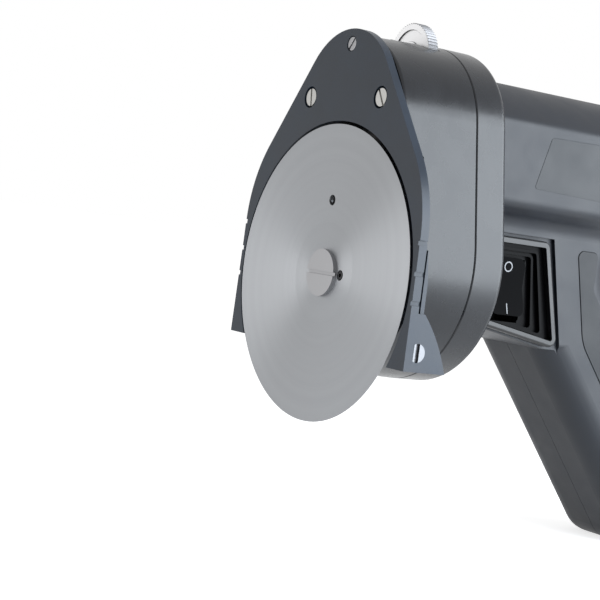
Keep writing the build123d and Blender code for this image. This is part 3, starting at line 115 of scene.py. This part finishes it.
def new_material(name, **values):
    """Material with a Principled shader. Keyword values go straight to the shader's own sockets."""
    material = bpy.data.materials.new(name)
    material.use_nodes = True
    tree = material.node_tree
    tree.nodes.clear()
    shader = node(tree, "ShaderNodeBsdfPrincipled", None,
                  {key.replace("_", " "): value for key, value in values.items()})
    output = node(tree, "ShaderNodeOutputMaterial")
    tree.links.new(shader.outputs["BSDF"], output.inputs["Surface"])
    print("material:", name)
    return material, tree, shader


print("middle grey 808080 is", round(linear("808080")[0], 3), "in linear light")

# %% [markdown]
# A white studio. Light Path tells a ray that looks from one that lights: the camera's, and those that a
# mirror or glass sends on, count as looking. The walls are white to a ray that looks, and dim as a lamp,
# so that the softboxes draw the form. Black plastic shows only what it mirrors: the mouldings would
# otherwise melt into one dark shape.

# %% World
world_glow = 0.45


def seen_directly(tree):
    """1 for rays from the camera, a mirror or glass, and 0 for the diffuse light between surfaces."""
    path = node(tree, "ShaderNodeLightPath")
    some = node(tree, "ShaderNodeMath", {"operation": "ADD", "use_clamp": True},
                {0: path.outputs["Is Camera Ray"], 1: path.outputs["Is Glossy Ray"]})
    every = node(tree, "ShaderNodeMath", {"operation": "ADD", "use_clamp": True},
                 {0: some.outputs[0], 1: path.outputs["Is Transmission Ray"]})
    return every.outputs[0]


world = bpy.data.worlds.new("studio")
bpy.context.scene.world = world
world.use_nodes = True
tree = world.node_tree
tree.nodes.clear()
strength = node(tree, "ShaderNodeMapRange", None,
                {"Value": seen_directly(tree), "To Min": world_glow, "To Max": 1.0})
sky = node(tree, "ShaderNodeBackground", None, {"Color": (1, 1, 1, 1), "Strength": strength.outputs[0]})
output = node(tree, "ShaderNodeOutputWorld")
tree.links.new(sky.outputs[0], output.inputs["Surface"])
bpy.context.scene.view_settings.view_transform = "Standard"
print("walls give", world_glow, "as a lamp and 1.0 to the camera")

# %% [markdown]
# The main softbox stands close on the tool's right and a little to the rear, so that its picture in the
# flat flank of the gear case runs from just above the floor to half way up the top curve. Its lower and
# upper ends make the two soft dark bands. Its light is a little cool, which gives the black plastic its
# blue-grey sheen. A small lamp in front lights the blade and draws the fans in its brushed face. No lamp
# stands on the left or straight behind: it would glare along the top, and the white walls are enough.

# %% Softboxes
cool_white = (0.86, 0.93, 1.0)
plain_white = (1.0, 1.0, 1.0)
from_blade_to_case = Vector((0, 0.04, 0))
on_the_blade = Vector((0, 0, 0))


def softbox(name, towards, distance, width, height, power, colour, aim):
    """Area lamp on the given side of the tool, turned to face it, and out of the camera's sight."""
    data = bpy.data.lights.new(name, "AREA")
    data.shape = "RECTANGLE"
    data.size = width
    data.size_y = height
    data.energy = power
    data.color = colour
    lamp = bpy.data.objects.new(name, data)
    bpy.context.scene.collection.objects.link(lamp)
    direction = Vector(towards).normalized()
    lamp.rotation_euler = direction.to_track_quat("Z", "Y").to_euler()
    lamp.location = blade_centre + aim + direction * distance
    lamp.visible_camera = False
    print(name, "radiance", round(power / (math.pi * width * height), 2))


softbox("key_lamp", towards=(0.80, 0.56, 0.22), distance=0.50, width=0.60, height=0.42, power=6.4,
        colour=cool_white, aim=from_blade_to_case)
softbox("front_lamp", towards=(-0.43, -0.90, 0.065), distance=0.50, width=0.21, height=0.19, power=0.40,
        colour=plain_white, aim=on_the_blade)

# %% [markdown]
# The floor is plain white paper, matte, so it mirrors nothing. It keeps the tool's soft shadow, and a
# little light of its own lifts the rest of it to the white of the walls, so no edge shows where they meet.

# %% Floor
floor_reach = 40.0
floor_lift = 0.72
bpy.ops.object.select_all(action="DESELECT")
bpy.ops.mesh.primitive_circle_add(vertices=96, radius=floor_reach, fill_type="NGON", location=(0, 0, 0))
floor = bpy.context.object
floor.name = "floor"
white_paper = bpy.data.materials.new("white_paper")
white_paper.use_nodes = True
tree = white_paper.node_tree
tree.nodes.clear()
paper = node(tree, "ShaderNodeBsdfDiffuse", None, {"Color": linear("E8E8E8")})
lift = node(tree, "ShaderNodeMath", {"operation": "MULTIPLY"}, {0: seen_directly(tree), 1: floor_lift})
glow = node(tree, "ShaderNodeEmission", None, {"Color": (1, 1, 1, 1), "Strength": lift.outputs[0]})
both = node(tree, "ShaderNodeAddShader", None, {0: paper.outputs[0], 1: glow.outputs[0]})
output = node(tree, "ShaderNodeOutputMaterial")
tree.links.new(both.outputs[0], output.inputs["Surface"])
floor.data.materials.append(white_paper)
print("floor reaches", floor_reach, "m")

# %% [markdown]
# No moulded or turned edge is a knife edge. A mould leaves a radius of two or three tenths, a turned screw
# is broken with a file, and it is that narrow round that catches a line of light. A CAD mesh is loose
# triangles, so each edge is rounded on a copy: its doubled points are merged and its flat triangles
# joined, and then a bevel can follow the edges that are left.

# %% Copy of a CAD mesh
weld_distance = 0.001 * mm


def welded_copy(name, cad_name):
    """Object of its own with a CAD node's mesh, its doubled points merged, left open in edit mode."""
    piece = bpy.data.objects.new(name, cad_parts[cad_name].data.copy())
    bpy.context.scene.collection.objects.link(piece)
    bpy.ops.object.select_all(action="DESELECT")
    bpy.context.view_layer.objects.active = piece
    piece.select_set(True)
    bpy.ops.mesh.customdata_custom_splitnormals_clear()
    bpy.ops.object.mode_set(mode="EDIT")
    bpy.ops.mesh.select_all(action="SELECT")
    bpy.ops.mesh.remove_doubles(threshold=weld_distance)
    return piece


print("points nearer than", weld_distance / mm, "mm become one")

# %% [markdown]
# The rounded copy takes the CAD piece's place and moves with the same body. Bevel rounds only what is
# sharper than the facets of a curve, and weighted normals keep the flats beside it flat. A turned screw
# asks for a tenth of a millimetre, a moulding for two to three tenths, and the rocker for five. That is
# the most that a round can be: clamping keeps it narrower all over a piece that has very short edges too,
# such as the plate.

# %% Rounded edges
flat_within = math.radians(0.5)
sharp_beyond = math.radians(35)


def softened(cad_name, body, radius_mm, rows=2):
    """Copy of a CAD piece with its sharp edges rounded, standing in for it in the picture."""
    piece = welded_copy("round_" + cad_name, cad_name)
    bpy.ops.mesh.dissolve_limited(angle_limit=flat_within)
    bpy.ops.mesh.normals_make_consistent(inside=False)
    bpy.ops.object.mode_set(mode="OBJECT")
    bevel = piece.modifiers.new("edge_radius", "BEVEL")
    bevel.width = radius_mm * mm
    bevel.segments = rows
    bevel.limit_method = "ANGLE"
    bevel.angle_limit = sharp_beyond
    bevel.use_clamp_overlap = True
    bpy.ops.object.modifier_apply(modifier=bevel.name)
    bpy.ops.object.shade_smooth_by_angle(angle=sharp_beyond)
    flats = piece.modifiers.new("keep_flats_flat", "WEIGHTED_NORMAL")
    flats.keep_sharp = True
    bpy.ops.object.modifier_apply(modifier=flats.name)
    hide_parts(cad_name)
    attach(piece, body)
    print(piece.name, len(piece.data.polygons), "faces")
    return piece


softened("guard_plate", "guard", radius_mm=0.25)
softened("guide_post_screws", "guard", radius_mm=0.12)
softened("spindle_screw", "guard", radius_mm=0.1)
softened("wing_screws", "guard", radius_mm=0.1)
softened("blade_screw", "blade", radius_mm=0.12)
wheel = softened("thumbwheel", "thumbwheel", radius_mm=0.08, rows=1)
rocker = softened("switch_rocker", "rocker", radius_mm=0.5, rows=3)
softened("switch_boot", "housing", radius_mm=0.3)
softened("grip_pad_right", "housing", radius_mm=0.2)
softened("grip_pad_left", "housing", radius_mm=0.2)

# %% [markdown]
# The switch carries the two signs that every mains switch of this kind has: a ring for off and a bar for
# on. They are moulded in and stand just proud of the face, so that use doesn't rub them off. A ray cast
# at the tilted rocker finds its surface and its slope: each sign lies on its half and rides on the rocker.

# %% Where a sign lies, and how it is finished
rocker_low, rocker_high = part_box("switch_rocker")
rocker_mid_y = (rocker_low.y + rocker_high.y) / 2
rocker_h = rocker_high.z - rocker_low.z
ray_lead = 20 * mm
sign_h = 3.6 * mm
sign_line = 0.42 * mm
sign_proud = 0.08 * mm
print("the rocker is", round(rocker_h / mm, 1), "mm high")


def rocker_surface(height_share):
    """Point on the rocker's face at a share of its height, and the turn that lays a flat piece on it."""
    start = Vector((rocker_high.x + ray_lead, rocker_mid_y, rocker_low.z + height_share * rocker_h))
    bpy.context.view_layer.update()
    place, slope = rocker.ray_cast(start, Vector((-1, 0, 0)))[1:3]
    print("slope at share", height_share, [round(value, 2) for value in slope])
    return place, slope.to_track_quat("Z", "Y").to_euler()


def raised(flat, name):
    """Thicken a flat outline, round its rim, and let it ride on the rocker as a sign."""
    thick = flat.modifiers.new("thickness", "SOLIDIFY")
    thick.thickness = 2 * sign_proud
    thick.offset = 0
    bpy.ops.object.modifier_apply(modifier=thick.name)
    rim = flat.modifiers.new("rim", "BEVEL")
    rim.width = sign_proud / 2
    rim.segments = 2
    bpy.ops.object.modifier_apply(modifier=rim.name)
    bpy.ops.object.transform_apply(location=True, rotation=True, scale=True)
    flat.name = name
    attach(flat, "rocker")
    print(name, len(flat.data.polygons), "faces")
    return flat

# %% [markdown]
# The ring starts as a circle, whose line is drawn inwards to the width of the sign. It lies high on the
# rocker, on the half that is pressed to switch the tool off.

# %% Ring for off
ring_height_share = 0.835
ring_points = 40
ring_hole_share = 1 - 2 * sign_line / sign_h
place, turn = rocker_surface(ring_height_share)
bpy.ops.object.select_all(action="DESELECT")
bpy.ops.mesh.primitive_circle_add(vertices=ring_points, radius=sign_h / 2, location=place, rotation=turn)
bpy.ops.object.mode_set(mode="EDIT")
bpy.ops.mesh.select_all(action="SELECT")
bpy.ops.mesh.extrude_region()
bpy.ops.transform.resize(value=(ring_hole_share, ring_hole_share, ring_hole_share), center_override=place)
bpy.ops.object.mode_set(mode="OBJECT")
sign_off = raised(bpy.context.object, "sign_off")

# %% [markdown]
# The bar is a plane drawn in to a narrow upright strip. It lies low on the rocker, on the half that is
# pressed to switch the tool on.

# %% Bar for on
bar_height_share = 0.115
place, turn = rocker_surface(bar_height_share)
bpy.ops.object.select_all(action="DESELECT")
bpy.ops.mesh.primitive_plane_add(size=sign_h, location=place, rotation=turn)
sign_on = bpy.context.object
sign_on.scale.x = sign_line / sign_h
bpy.ops.object.mode_set(mode="EDIT")
bpy.ops.mesh.select_all(action="SELECT")
bpy.ops.mesh.subdivide(number_cuts=1)
bpy.ops.object.mode_set(mode="OBJECT")
sign_on = raised(sign_on, "sign_on")

# %% [markdown]
# The shallow field on each side of the barrel takes the rating label, which stays blank. The label's
# outline is the field's own floor, taken from the moulding. So the first step finds that floor by a ray
# cast at the barrel's side and deletes all the rest of the copy.

# %% Floor of the label field
field_offset = Vector((0, 86.8, 46.8)) * mm
field_half = Vector((0, 30, 12)) * mm
far_outside = 200 * mm
level_within = 0.01 * mm
facing_out = 0.99


def field_floor(name, housing, side):
    """Copy of a housing half cut down to its label field's floor, where side is the sign of its x."""
    label = welded_copy(name, housing)
    bpy.ops.mesh.select_mode(type="FACE")
    bpy.ops.mesh.select_all(action="DESELECT")
    bpy.ops.object.mode_set(mode="OBJECT")
    bpy.context.view_layer.update()
    middle = blade_centre + field_offset
    start = Vector((side * far_outside, middle.y, middle.z))
    place = label.ray_cast(start, Vector((-side, 0, 0)))[1]
    for polygon in label.data.polygons:
        away = polygon.center - place
        polygon.select = (abs(away.x) < level_within and abs(away.y) < field_half.y
                          and abs(away.z) < field_half.z and polygon.normal.x * side > facing_out)
    bpy.ops.object.mode_set(mode="EDIT")
    bpy.ops.mesh.select_all(action="INVERT")
    bpy.ops.mesh.delete(type="FACE")
    bpy.ops.object.mode_set(mode="OBJECT")
    print(name, "starts from", len(label.data.polygons), "triangles of", housing)
    return label

# %% [markdown]
# A label is cut a little smaller than its field and rolled down flat, so a fine dark line runs round it.
# The floor's triangles are joined to one face, the face is drawn in all round by that gap, and it is
# lifted by the thickness of the film.

# %% Blank labels
label_gap = 0.35 * mm
label_thickness = 0.12 * mm
one_face_within = math.radians(1)


def blank_label(name, housing, side):
    """Thin blank label in the field of a housing half, on the side whose x has the sign given."""
    label = field_floor(name, housing, side)
    bpy.ops.object.mode_set(mode="EDIT")
    bpy.ops.mesh.select_all(action="SELECT")
    bpy.ops.mesh.dissolve_limited(angle_limit=one_face_within)
    bpy.ops.mesh.select_all(action="SELECT")
    bpy.ops.mesh.inset(thickness=label_gap, use_boundary=True)
    bpy.ops.mesh.select_all(action="INVERT")
    bpy.ops.mesh.delete(type="FACE")
    bpy.ops.mesh.select_all(action="SELECT")
    bpy.ops.mesh.extrude_region()
    bpy.ops.transform.translate(value=(side * label_thickness, 0, 0))
    bpy.ops.mesh.select_all(action="SELECT")
    bpy.ops.mesh.normals_make_consistent(inside=False)
    bpy.ops.object.mode_set(mode="OBJECT")
    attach(label, "housing")
    print(name, "ends with", len(label.data.polygons), "faces")
    return label


label_right = blank_label("rating_label_right", "housing_right", 1)
label_left = blank_label("rating_label_left", "housing_left", -1)

# %% [markdown]
# Moulded plastic. The mould of a power tool is spark eroded, which leaves fine pits that spread the light,
# or it is stoned to a satin that still mirrors a lamp softly. The real pits are a tenth of a millimetre or
# less, finer than a pixel here, so every grain is drawn coarser, as coarse as it needs to show. Slow waves
# stand for the sink of a thick wall, and a slow change of tone and gloss for the flow of the melt and for
# handling.

# %% Plastic
patch_mm = 12
wave_mm = 9
noise_low, noise_high = 0.3, 0.7
gloss_swing = 0.04


def plastic(name, colour, roughness, level, grain_mm, grain_height_mm, fleck, wave_height_mm=0.0):
    """Moulded plastic: the grain of its mould, slow waves, and a slow change of tone and gloss."""
    material, tree, shader = new_material(name, Specular_IOR_Level=level, IOR=1.5)
    place = node(tree, "ShaderNodeTexCoord")
    cloud = node(tree, "ShaderNodeTexNoise", None,
                 {"Vector": place.outputs["Object"], "Scale": 1 / (patch_mm * mm), "Detail": 3.0})
    base = linear(colour)
    ramp = node(tree, "ShaderNodeValToRGB", None, {"Fac": cloud.outputs["Fac"]})
    for stop, at, tone in zip(ramp.color_ramp.elements, (noise_low, noise_high), (1 - fleck, 1 + fleck)):
        stop.position = at
        stop.color = [value * tone for value in base[:3]] + [1]
    tree.links.new(ramp.outputs["Color"], shader.inputs["Base Color"])
    rough = node(tree, "ShaderNodeMapRange", None,
                 {"Value": cloud.outputs["Fac"], "From Min": noise_low, "From Max": noise_high,
                  "To Min": roughness - gloss_swing, "To Max": roughness + gloss_swing})
    tree.links.new(rough.outputs[0], shader.inputs["Roughness"])
    wave = node(tree, "ShaderNodeTexNoise", None,
                {"Vector": place.outputs["Object"], "Scale": 1 / (wave_mm * mm), "Detail": 2.0})
    swell = node(tree, "ShaderNodeBump", None,
                 {"Height": wave.outputs["Fac"], "Strength": 1.0, "Distance": wave_height_mm * mm})
    grain = node(tree, "ShaderNodeTexNoise", None,
                 {"Vector": place.outputs["Object"], "Scale": 1 / (grain_mm * mm), "Detail": 2.0})
    bump = node(tree, "ShaderNodeBump", None,
                {"Height": grain.outputs["Fac"], "Strength": 1.0, "Distance": grain_height_mm * mm,
                 "Normal": swell.outputs["Normal"]})
    tree.links.new(bump.outputs["Normal"], shader.inputs["Normal"])
    return material


print("patches of tone are about", patch_mm, "mm wide")

# %% [markdown]
# The large mouldings are glass-filled nylon, which keeps its shape beside a warm motor. They share one
# charcoal and differ in how their moulds were finished, and that alone tells them apart in the picture.

# %% Case, housing, gauge and grip
# Stoned mould: a dense charcoal with a soft shine, in which the softbox keeps a readable edge.
satin_case = plastic("glass_filled_nylon_stoned_mould", "12151A", roughness=0.27, level=0.42,
                     grain_mm=0.7, grain_height_mm=0.002, fleck=0.08, wave_height_mm=0.05)
# Spark-eroded mould: the pits spread the lamp into a broad grey sheen without an edge.
grained_housing = plastic("glass_filled_nylon_spark_eroded_mould", "0F141C", roughness=0.50, level=0.40,
                          grain_mm=0.35, grain_height_mm=0.012, fleck=0.10, wave_height_mm=0.04)
# The gauge is a bluer nylon with a shallow grain: flat, and a little lighter than the case behind it.
guard_nylon = plastic("charcoal_nylon_spark_eroded_mould", "1C2632", roughness=0.38, level=0.34,
                      grain_mm=0.5, grain_height_mm=0.008, fleck=0.12, wave_height_mm=0.03)
# Thermoplastic rubber from a matte mould: next to no highlight, so that the pads read as soft.
soft_rubber = plastic("thermoplastic_rubber_matte_mould", "15181C", roughness=0.62, level=0.42,
                      grain_mm=0.4, grain_height_mm=0.010, fleck=0.08)

# %% [markdown]
# The switch is a bought part. Its rocker is polished, its frame is satin, and the boot between them is
# silicone, so three blacks lie inside each other and still part. The rocker and the boot are darker and
# duller than those plastics are: painted shade, for the shadow that a holding hand casts over the switch.

# %% Switch, label and inner plastics
# Polished ABS in painted shade: near black and mirroring almost nothing, for the shadow of a holding hand,
# with small clear highlights left on its rounds.
rocker_black_in_painted_shade = plastic("polished_black_abs_painted_shade", "020203", roughness=0.14, level=0.015,
                      grain_mm=2.0, grain_height_mm=0.001, fleck=0.05)
# ABS from a satin mould: a frame whose bevels catch a grey line round the dark opening.
satin_black = plastic("black_abs_satin_mould", "0E0F11", roughness=0.34, level=0.40,
                      grain_mm=0.6, grain_height_mm=0.003, fleck=0.05)
# Moulded silicone in painted shade: darker and duller than black silicone, for the same shadow, with a thin
# soft highlight on each rib. The gland and the seal share it.
boot_black_in_painted_shade = plastic("black_silicone_painted_shade", "040405", roughness=0.30, level=0.04,
                     grain_mm=0.8, grain_height_mm=0.002, fleck=0.05)
# Unfinished nylon of inner parts: an even dark grey with a weak sheen.
inner_black = plastic("moulded_inner_nylon", "1A1A1B", roughness=0.50, level=0.40,
                      grain_mm=0.5, grain_height_mm=0.004, fleck=0.05)
# Polyester film with a matte varnish: smoother than the housing, so it reads as a separate thin sheet.
label_film = plastic("black_polyester_label", "12161B", roughness=0.50, level=0.37,
                     grain_mm=0.8, grain_height_mm=0.002, fleck=0.05)
# Pressed and sintered ferrite: brownish and dull, like unglazed clay.
ferrite = plastic("sintered_ferrite", "2A2827", roughness=0.60, level=0.40,
                  grain_mm=0.5, grain_height_mm=0.010, fleck=0.08)
# Pale ABS moulded into the rocker: light grey and matte, so the signs stay plain from any side.
pale_sign = plastic("moulded_in_pale_abs", "8E9093", roughness=0.50, level=0.20,
                    grain_mm=0.5, grain_height_mm=0.001, fleck=0.02)

# %% [markdown]
# Bare metal. A turned or ground part keeps fine marks that blur its mirror picture unevenly, so the
# roughness wanders a little about its mean. Turning marks lie a twentieth of a millimetre apart, too fine
# for this picture, and are drawn three tenths wide. Colour is the metal's own reflection.

# %% Metal
mark_mm = 0.3
mark_height_mm = 0.002
polish_swing = 0.06


def metal(name, colour, roughness):
    """Bare metal whose roughness wanders with its fine marks."""
    material, tree, shader = new_material(name, Metallic=1.0, Base_Color=linear(colour))
    place = node(tree, "ShaderNodeTexCoord")
    marks = node(tree, "ShaderNodeTexNoise", None,
                 {"Vector": place.outputs["Object"], "Scale": 1 / (mark_mm * mm), "Detail": 3.0})
    rough = node(tree, "ShaderNodeMapRange", None,
                 {"Value": marks.outputs["Fac"],
                  "To Min": roughness - polish_swing, "To Max": roughness + polish_swing})
    tree.links.new(rough.outputs[0], shader.inputs["Roughness"])
    bump = node(tree, "ShaderNodeBump", None,
                {"Height": marks.outputs["Fac"], "Strength": 1.0, "Distance": mark_height_mm * mm})
    tree.links.new(bump.outputs["Normal"], shader.inputs["Normal"])
    return material


print("marks are drawn", mark_mm, "mm wide")

# %% [markdown]
# The metals that show from outside are all steel, plated or not. Some screws are as bright as new and
# others are rubbed and dull, and the wing screws are darkened by painted shade.

# %% Outer metals
# Turned and zinc plated: near white with a soft mirror, as a new screw looks.
bright_steel = metal("turned_zinc_plated_steel", "B4B3B0", roughness=0.30)
# The same steel rubbed by use and washing: greyer, with a broader highlight.
worn_steel = metal("turned_steel_worn_dull", "98989A", roughness=0.38)
# Zinc plated steel in painted shade: darkened to mid grey, so the softbox facing these screws doesn't burn
# them white and the slot stays in view.
zinc_steel_in_painted_shade = metal("zinc_plated_steel_painted_shade", "66676A", roughness=0.36)
# Blackened in hot oil: nearly black with a dull sheen, so deep screws and the pin stay quiet.
dark_steel = metal("blackened_steel", "3A3A3C", roughness=0.40)
# Nickel plated over a turned face: the palest metal here, with a broad soft shine.
wheel_steel = metal("turned_nickel_plated_steel", "E2E2E3", roughness=0.40)
# The same nickel in painted shade, for the knurled rim and the back that face the main softbox: a darker
# grey, a little rougher from the knurl.
nickel_in_painted_shade = metal("nickel_plated_steel_painted_shade", "7E7E80", roughness=0.55)

# %% [markdown]
# The metals inside are named for their work. They show when the case is opened.

# %% Inner metals
# Cut and then hardened: grey, with a trace of brown from the oil.
gear_steel = metal("cut_and_hardened_steel", "8A8782", roughness=0.40)
# Ground to size: smooth enough for a clear narrow highlight along a shaft.
ground_steel = metal("ground_steel", "A9A8A5", roughness=0.22)
# Sintered from powder and soaked in oil: brown, and satin all over.
bronze = metal("sintered_bronze", "A0703C", roughness=0.45)
# Turned copper with a thin tarnish: a dulled orange.
copper = metal("turned_copper", "B8704C", roughness=0.35)

# %% [markdown]
# The blade is stainless steel, dished on a lathe and brushed while it turns. The brush leaves thousands of
# rings about its centre. Each ring mirrors a lamp sharply along its length and smears it across, and so
# the eye sees bright fans that spread from the centre. The anisotropic shader does that, with a tangent
# that runs round the blade's own axis.

# %% Brushed blade
blade_steel, tree, shader = new_material("stainless_steel_brushed_in_rings", Metallic=1.0, Anisotropic=0.85,
                                         Anisotropic_Rotation=0.25)
around = node(tree, "ShaderNodeTangent", {"direction_type": "RADIAL", "axis": "Y"})
tree.links.new(around.outputs["Tangent"], shader.inputs["Tangent"])
place = node(tree, "ShaderNodeTexCoord")
from_centre = node(tree, "ShaderNodeVectorMath", {"operation": "SUBTRACT"},
                   {0: place.outputs["Object"], 1: tuple(blade_centre)})
in_plane = node(tree, "ShaderNodeVectorMath", {"operation": "MULTIPLY"},
                {0: from_centre.outputs[0], 1: (1, 0, 1)})
radius = node(tree, "ShaderNodeVectorMath", {"operation": "LENGTH"}, {0: in_plane.outputs[0]})
print("blade rings about", [round(value / mm, 1) for value in blade_centre])

# %% [markdown]
# Faint uneven rings break the fans up: the distance from the centre, divided by a pitch, picks a place in
# a one-dimensional noise. A real scratch is a few hundredths of a millimetre wide, so the fine rings are
# drawn at two tenths, coarse enough to show, and the broad ones are bands where the brush stood longer.

# %% Rings in the blade
fine_ring_mm = 0.2
broad_ring_mm = 3
smoothest, roughest = 0.30, 0.34
fine_pitch = node(tree, "ShaderNodeMath", {"operation": "DIVIDE"},
                  {0: radius.outputs["Value"], 1: fine_ring_mm * mm})
fine_rings = node(tree, "ShaderNodeTexNoise", {"noise_dimensions": "1D"},
                  {"W": fine_pitch.outputs[0], "Scale": 1.0, "Detail": 1.0})
broad_pitch = node(tree, "ShaderNodeMath", {"operation": "DIVIDE"},
                   {0: radius.outputs["Value"], 1: broad_ring_mm * mm})
broad_rings = node(tree, "ShaderNodeTexNoise", {"noise_dimensions": "1D"},
                   {"W": broad_pitch.outputs[0], "Scale": 1.0, "Detail": 2.0})
# Painted shade: both greys lie well below stainless steel, for the dim room the blade mirrors. Their small
# step is the broad rings.
brush_bands_and_painted_shade = node(tree, "ShaderNodeValToRGB", None, {"Fac": broad_rings.outputs["Fac"]})
for stop, at, tone in zip(brush_bands_and_painted_shade.color_ramp.elements, (noise_low, noise_high), ("95979A", "97999C")):
    stop.position = at
    stop.color = linear(tone)
tree.links.new(brush_bands_and_painted_shade.outputs["Color"], shader.inputs["Base Color"])
rough = node(tree, "ShaderNodeMapRange", None,
             {"Value": fine_rings.outputs["Fac"], "To Min": smoothest, "To Max": roughest})
tree.links.new(rough.outputs[0], shader.inputs["Roughness"])
print("fine rings", fine_ring_mm, "mm apart, broad ones", broad_ring_mm, "mm")

# %% [markdown]
# Each piece gets the finish of the real one. Where a rounded copy stands in, it takes the finish too.

# %% Outer finishes
def finish(names, material):
    """Give pieces a material in place of their plain one."""
    for name in names:
        shown = bpy.data.objects.get("round_" + name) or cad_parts[name]
        for piece in (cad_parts[name], shown):
            piece.data.materials.clear()
            piece.data.materials.append(material)
    print(material.name, "on", len(names))


finish(["blade"], blade_steel)
finish(["guide_post_screws"], bright_steel)
finish(["wing_screws"], zinc_steel_in_painted_shade)
finish(["blade_screw", "spindle_screw"], worn_steel)
finish(["drive_pin"], dark_steel)
finish(["thumbwheel"], wheel_steel)
finish(["guard_plate"], guard_nylon)
finish(["front_shell", "rear_shell"], satin_case)
finish(["housing_right", "housing_left", "rear_cap"], grained_housing)
finish(["grip_pad_right", "grip_pad_left"], soft_rubber)
finish(["switch_rocker"], rocker_black_in_painted_shade)
finish(["switch_bezel", "switch_body"], satin_black)
finish(["switch_boot", "cable_gland", "spindle_seal"], boot_black_in_painted_shade)

# %% [markdown]
# Inside lie gears, shafts, bearings and the motor. They don't show in this picture, but the tool can be
# taken apart, and then each should look like what it is.

# %% Inner finishes
finish(["gear_case_screws", "housing_screws", "rear_cap_screws", "motor_screws"], dark_steel)
finish(["output_gear", "idler_gear", "motor_pinion", "rotor_core"], gear_steel)
finish(["blade_spindle", "motor_shaft", "idler_axle", "guide_posts", "adjusting_spindle",
        "front_bearing", "rear_bearing"], ground_steel)
finish(["guide_bushes", "idler_bush"], bronze)
finish(["commutator"], copper)
finish(["motor_can", "motor_front_cap"], dark_steel)
finish(["motor_rear_cap", "cooling_fan", "motor_brushes"], inner_black)
finish(["motor_magnets"], ferrite)

# %% [markdown]
# The wheel's front keeps the pale nickel. The rim and the back face the main softbox, and their darker grey
# of the same nickel is painted shade; only a little extra roughness comes from the knurl on the rim. The
# signs and labels are new pieces, with finishes of their own.

# %% Wheel, signs and labels
# Faces that look straight to the front keep the pale nickel, and all other faces get the darker nickel of
# painted shade.
front_facing_limit = -0.8
wheel.data.materials.append(nickel_in_painted_shade)
for face in wheel.data.polygons:
    face.material_index = 0 if face.normal.y < front_facing_limit else 1
for piece, material in ((sign_off, pale_sign), (sign_on, pale_sign),
                        (label_right, label_film), (label_left, label_film)):
    piece.data.materials.clear()
    piece.data.materials.append(material)
print("turned faces on the wheel:", sum(face.material_index == 0 for face in wheel.data.polygons))
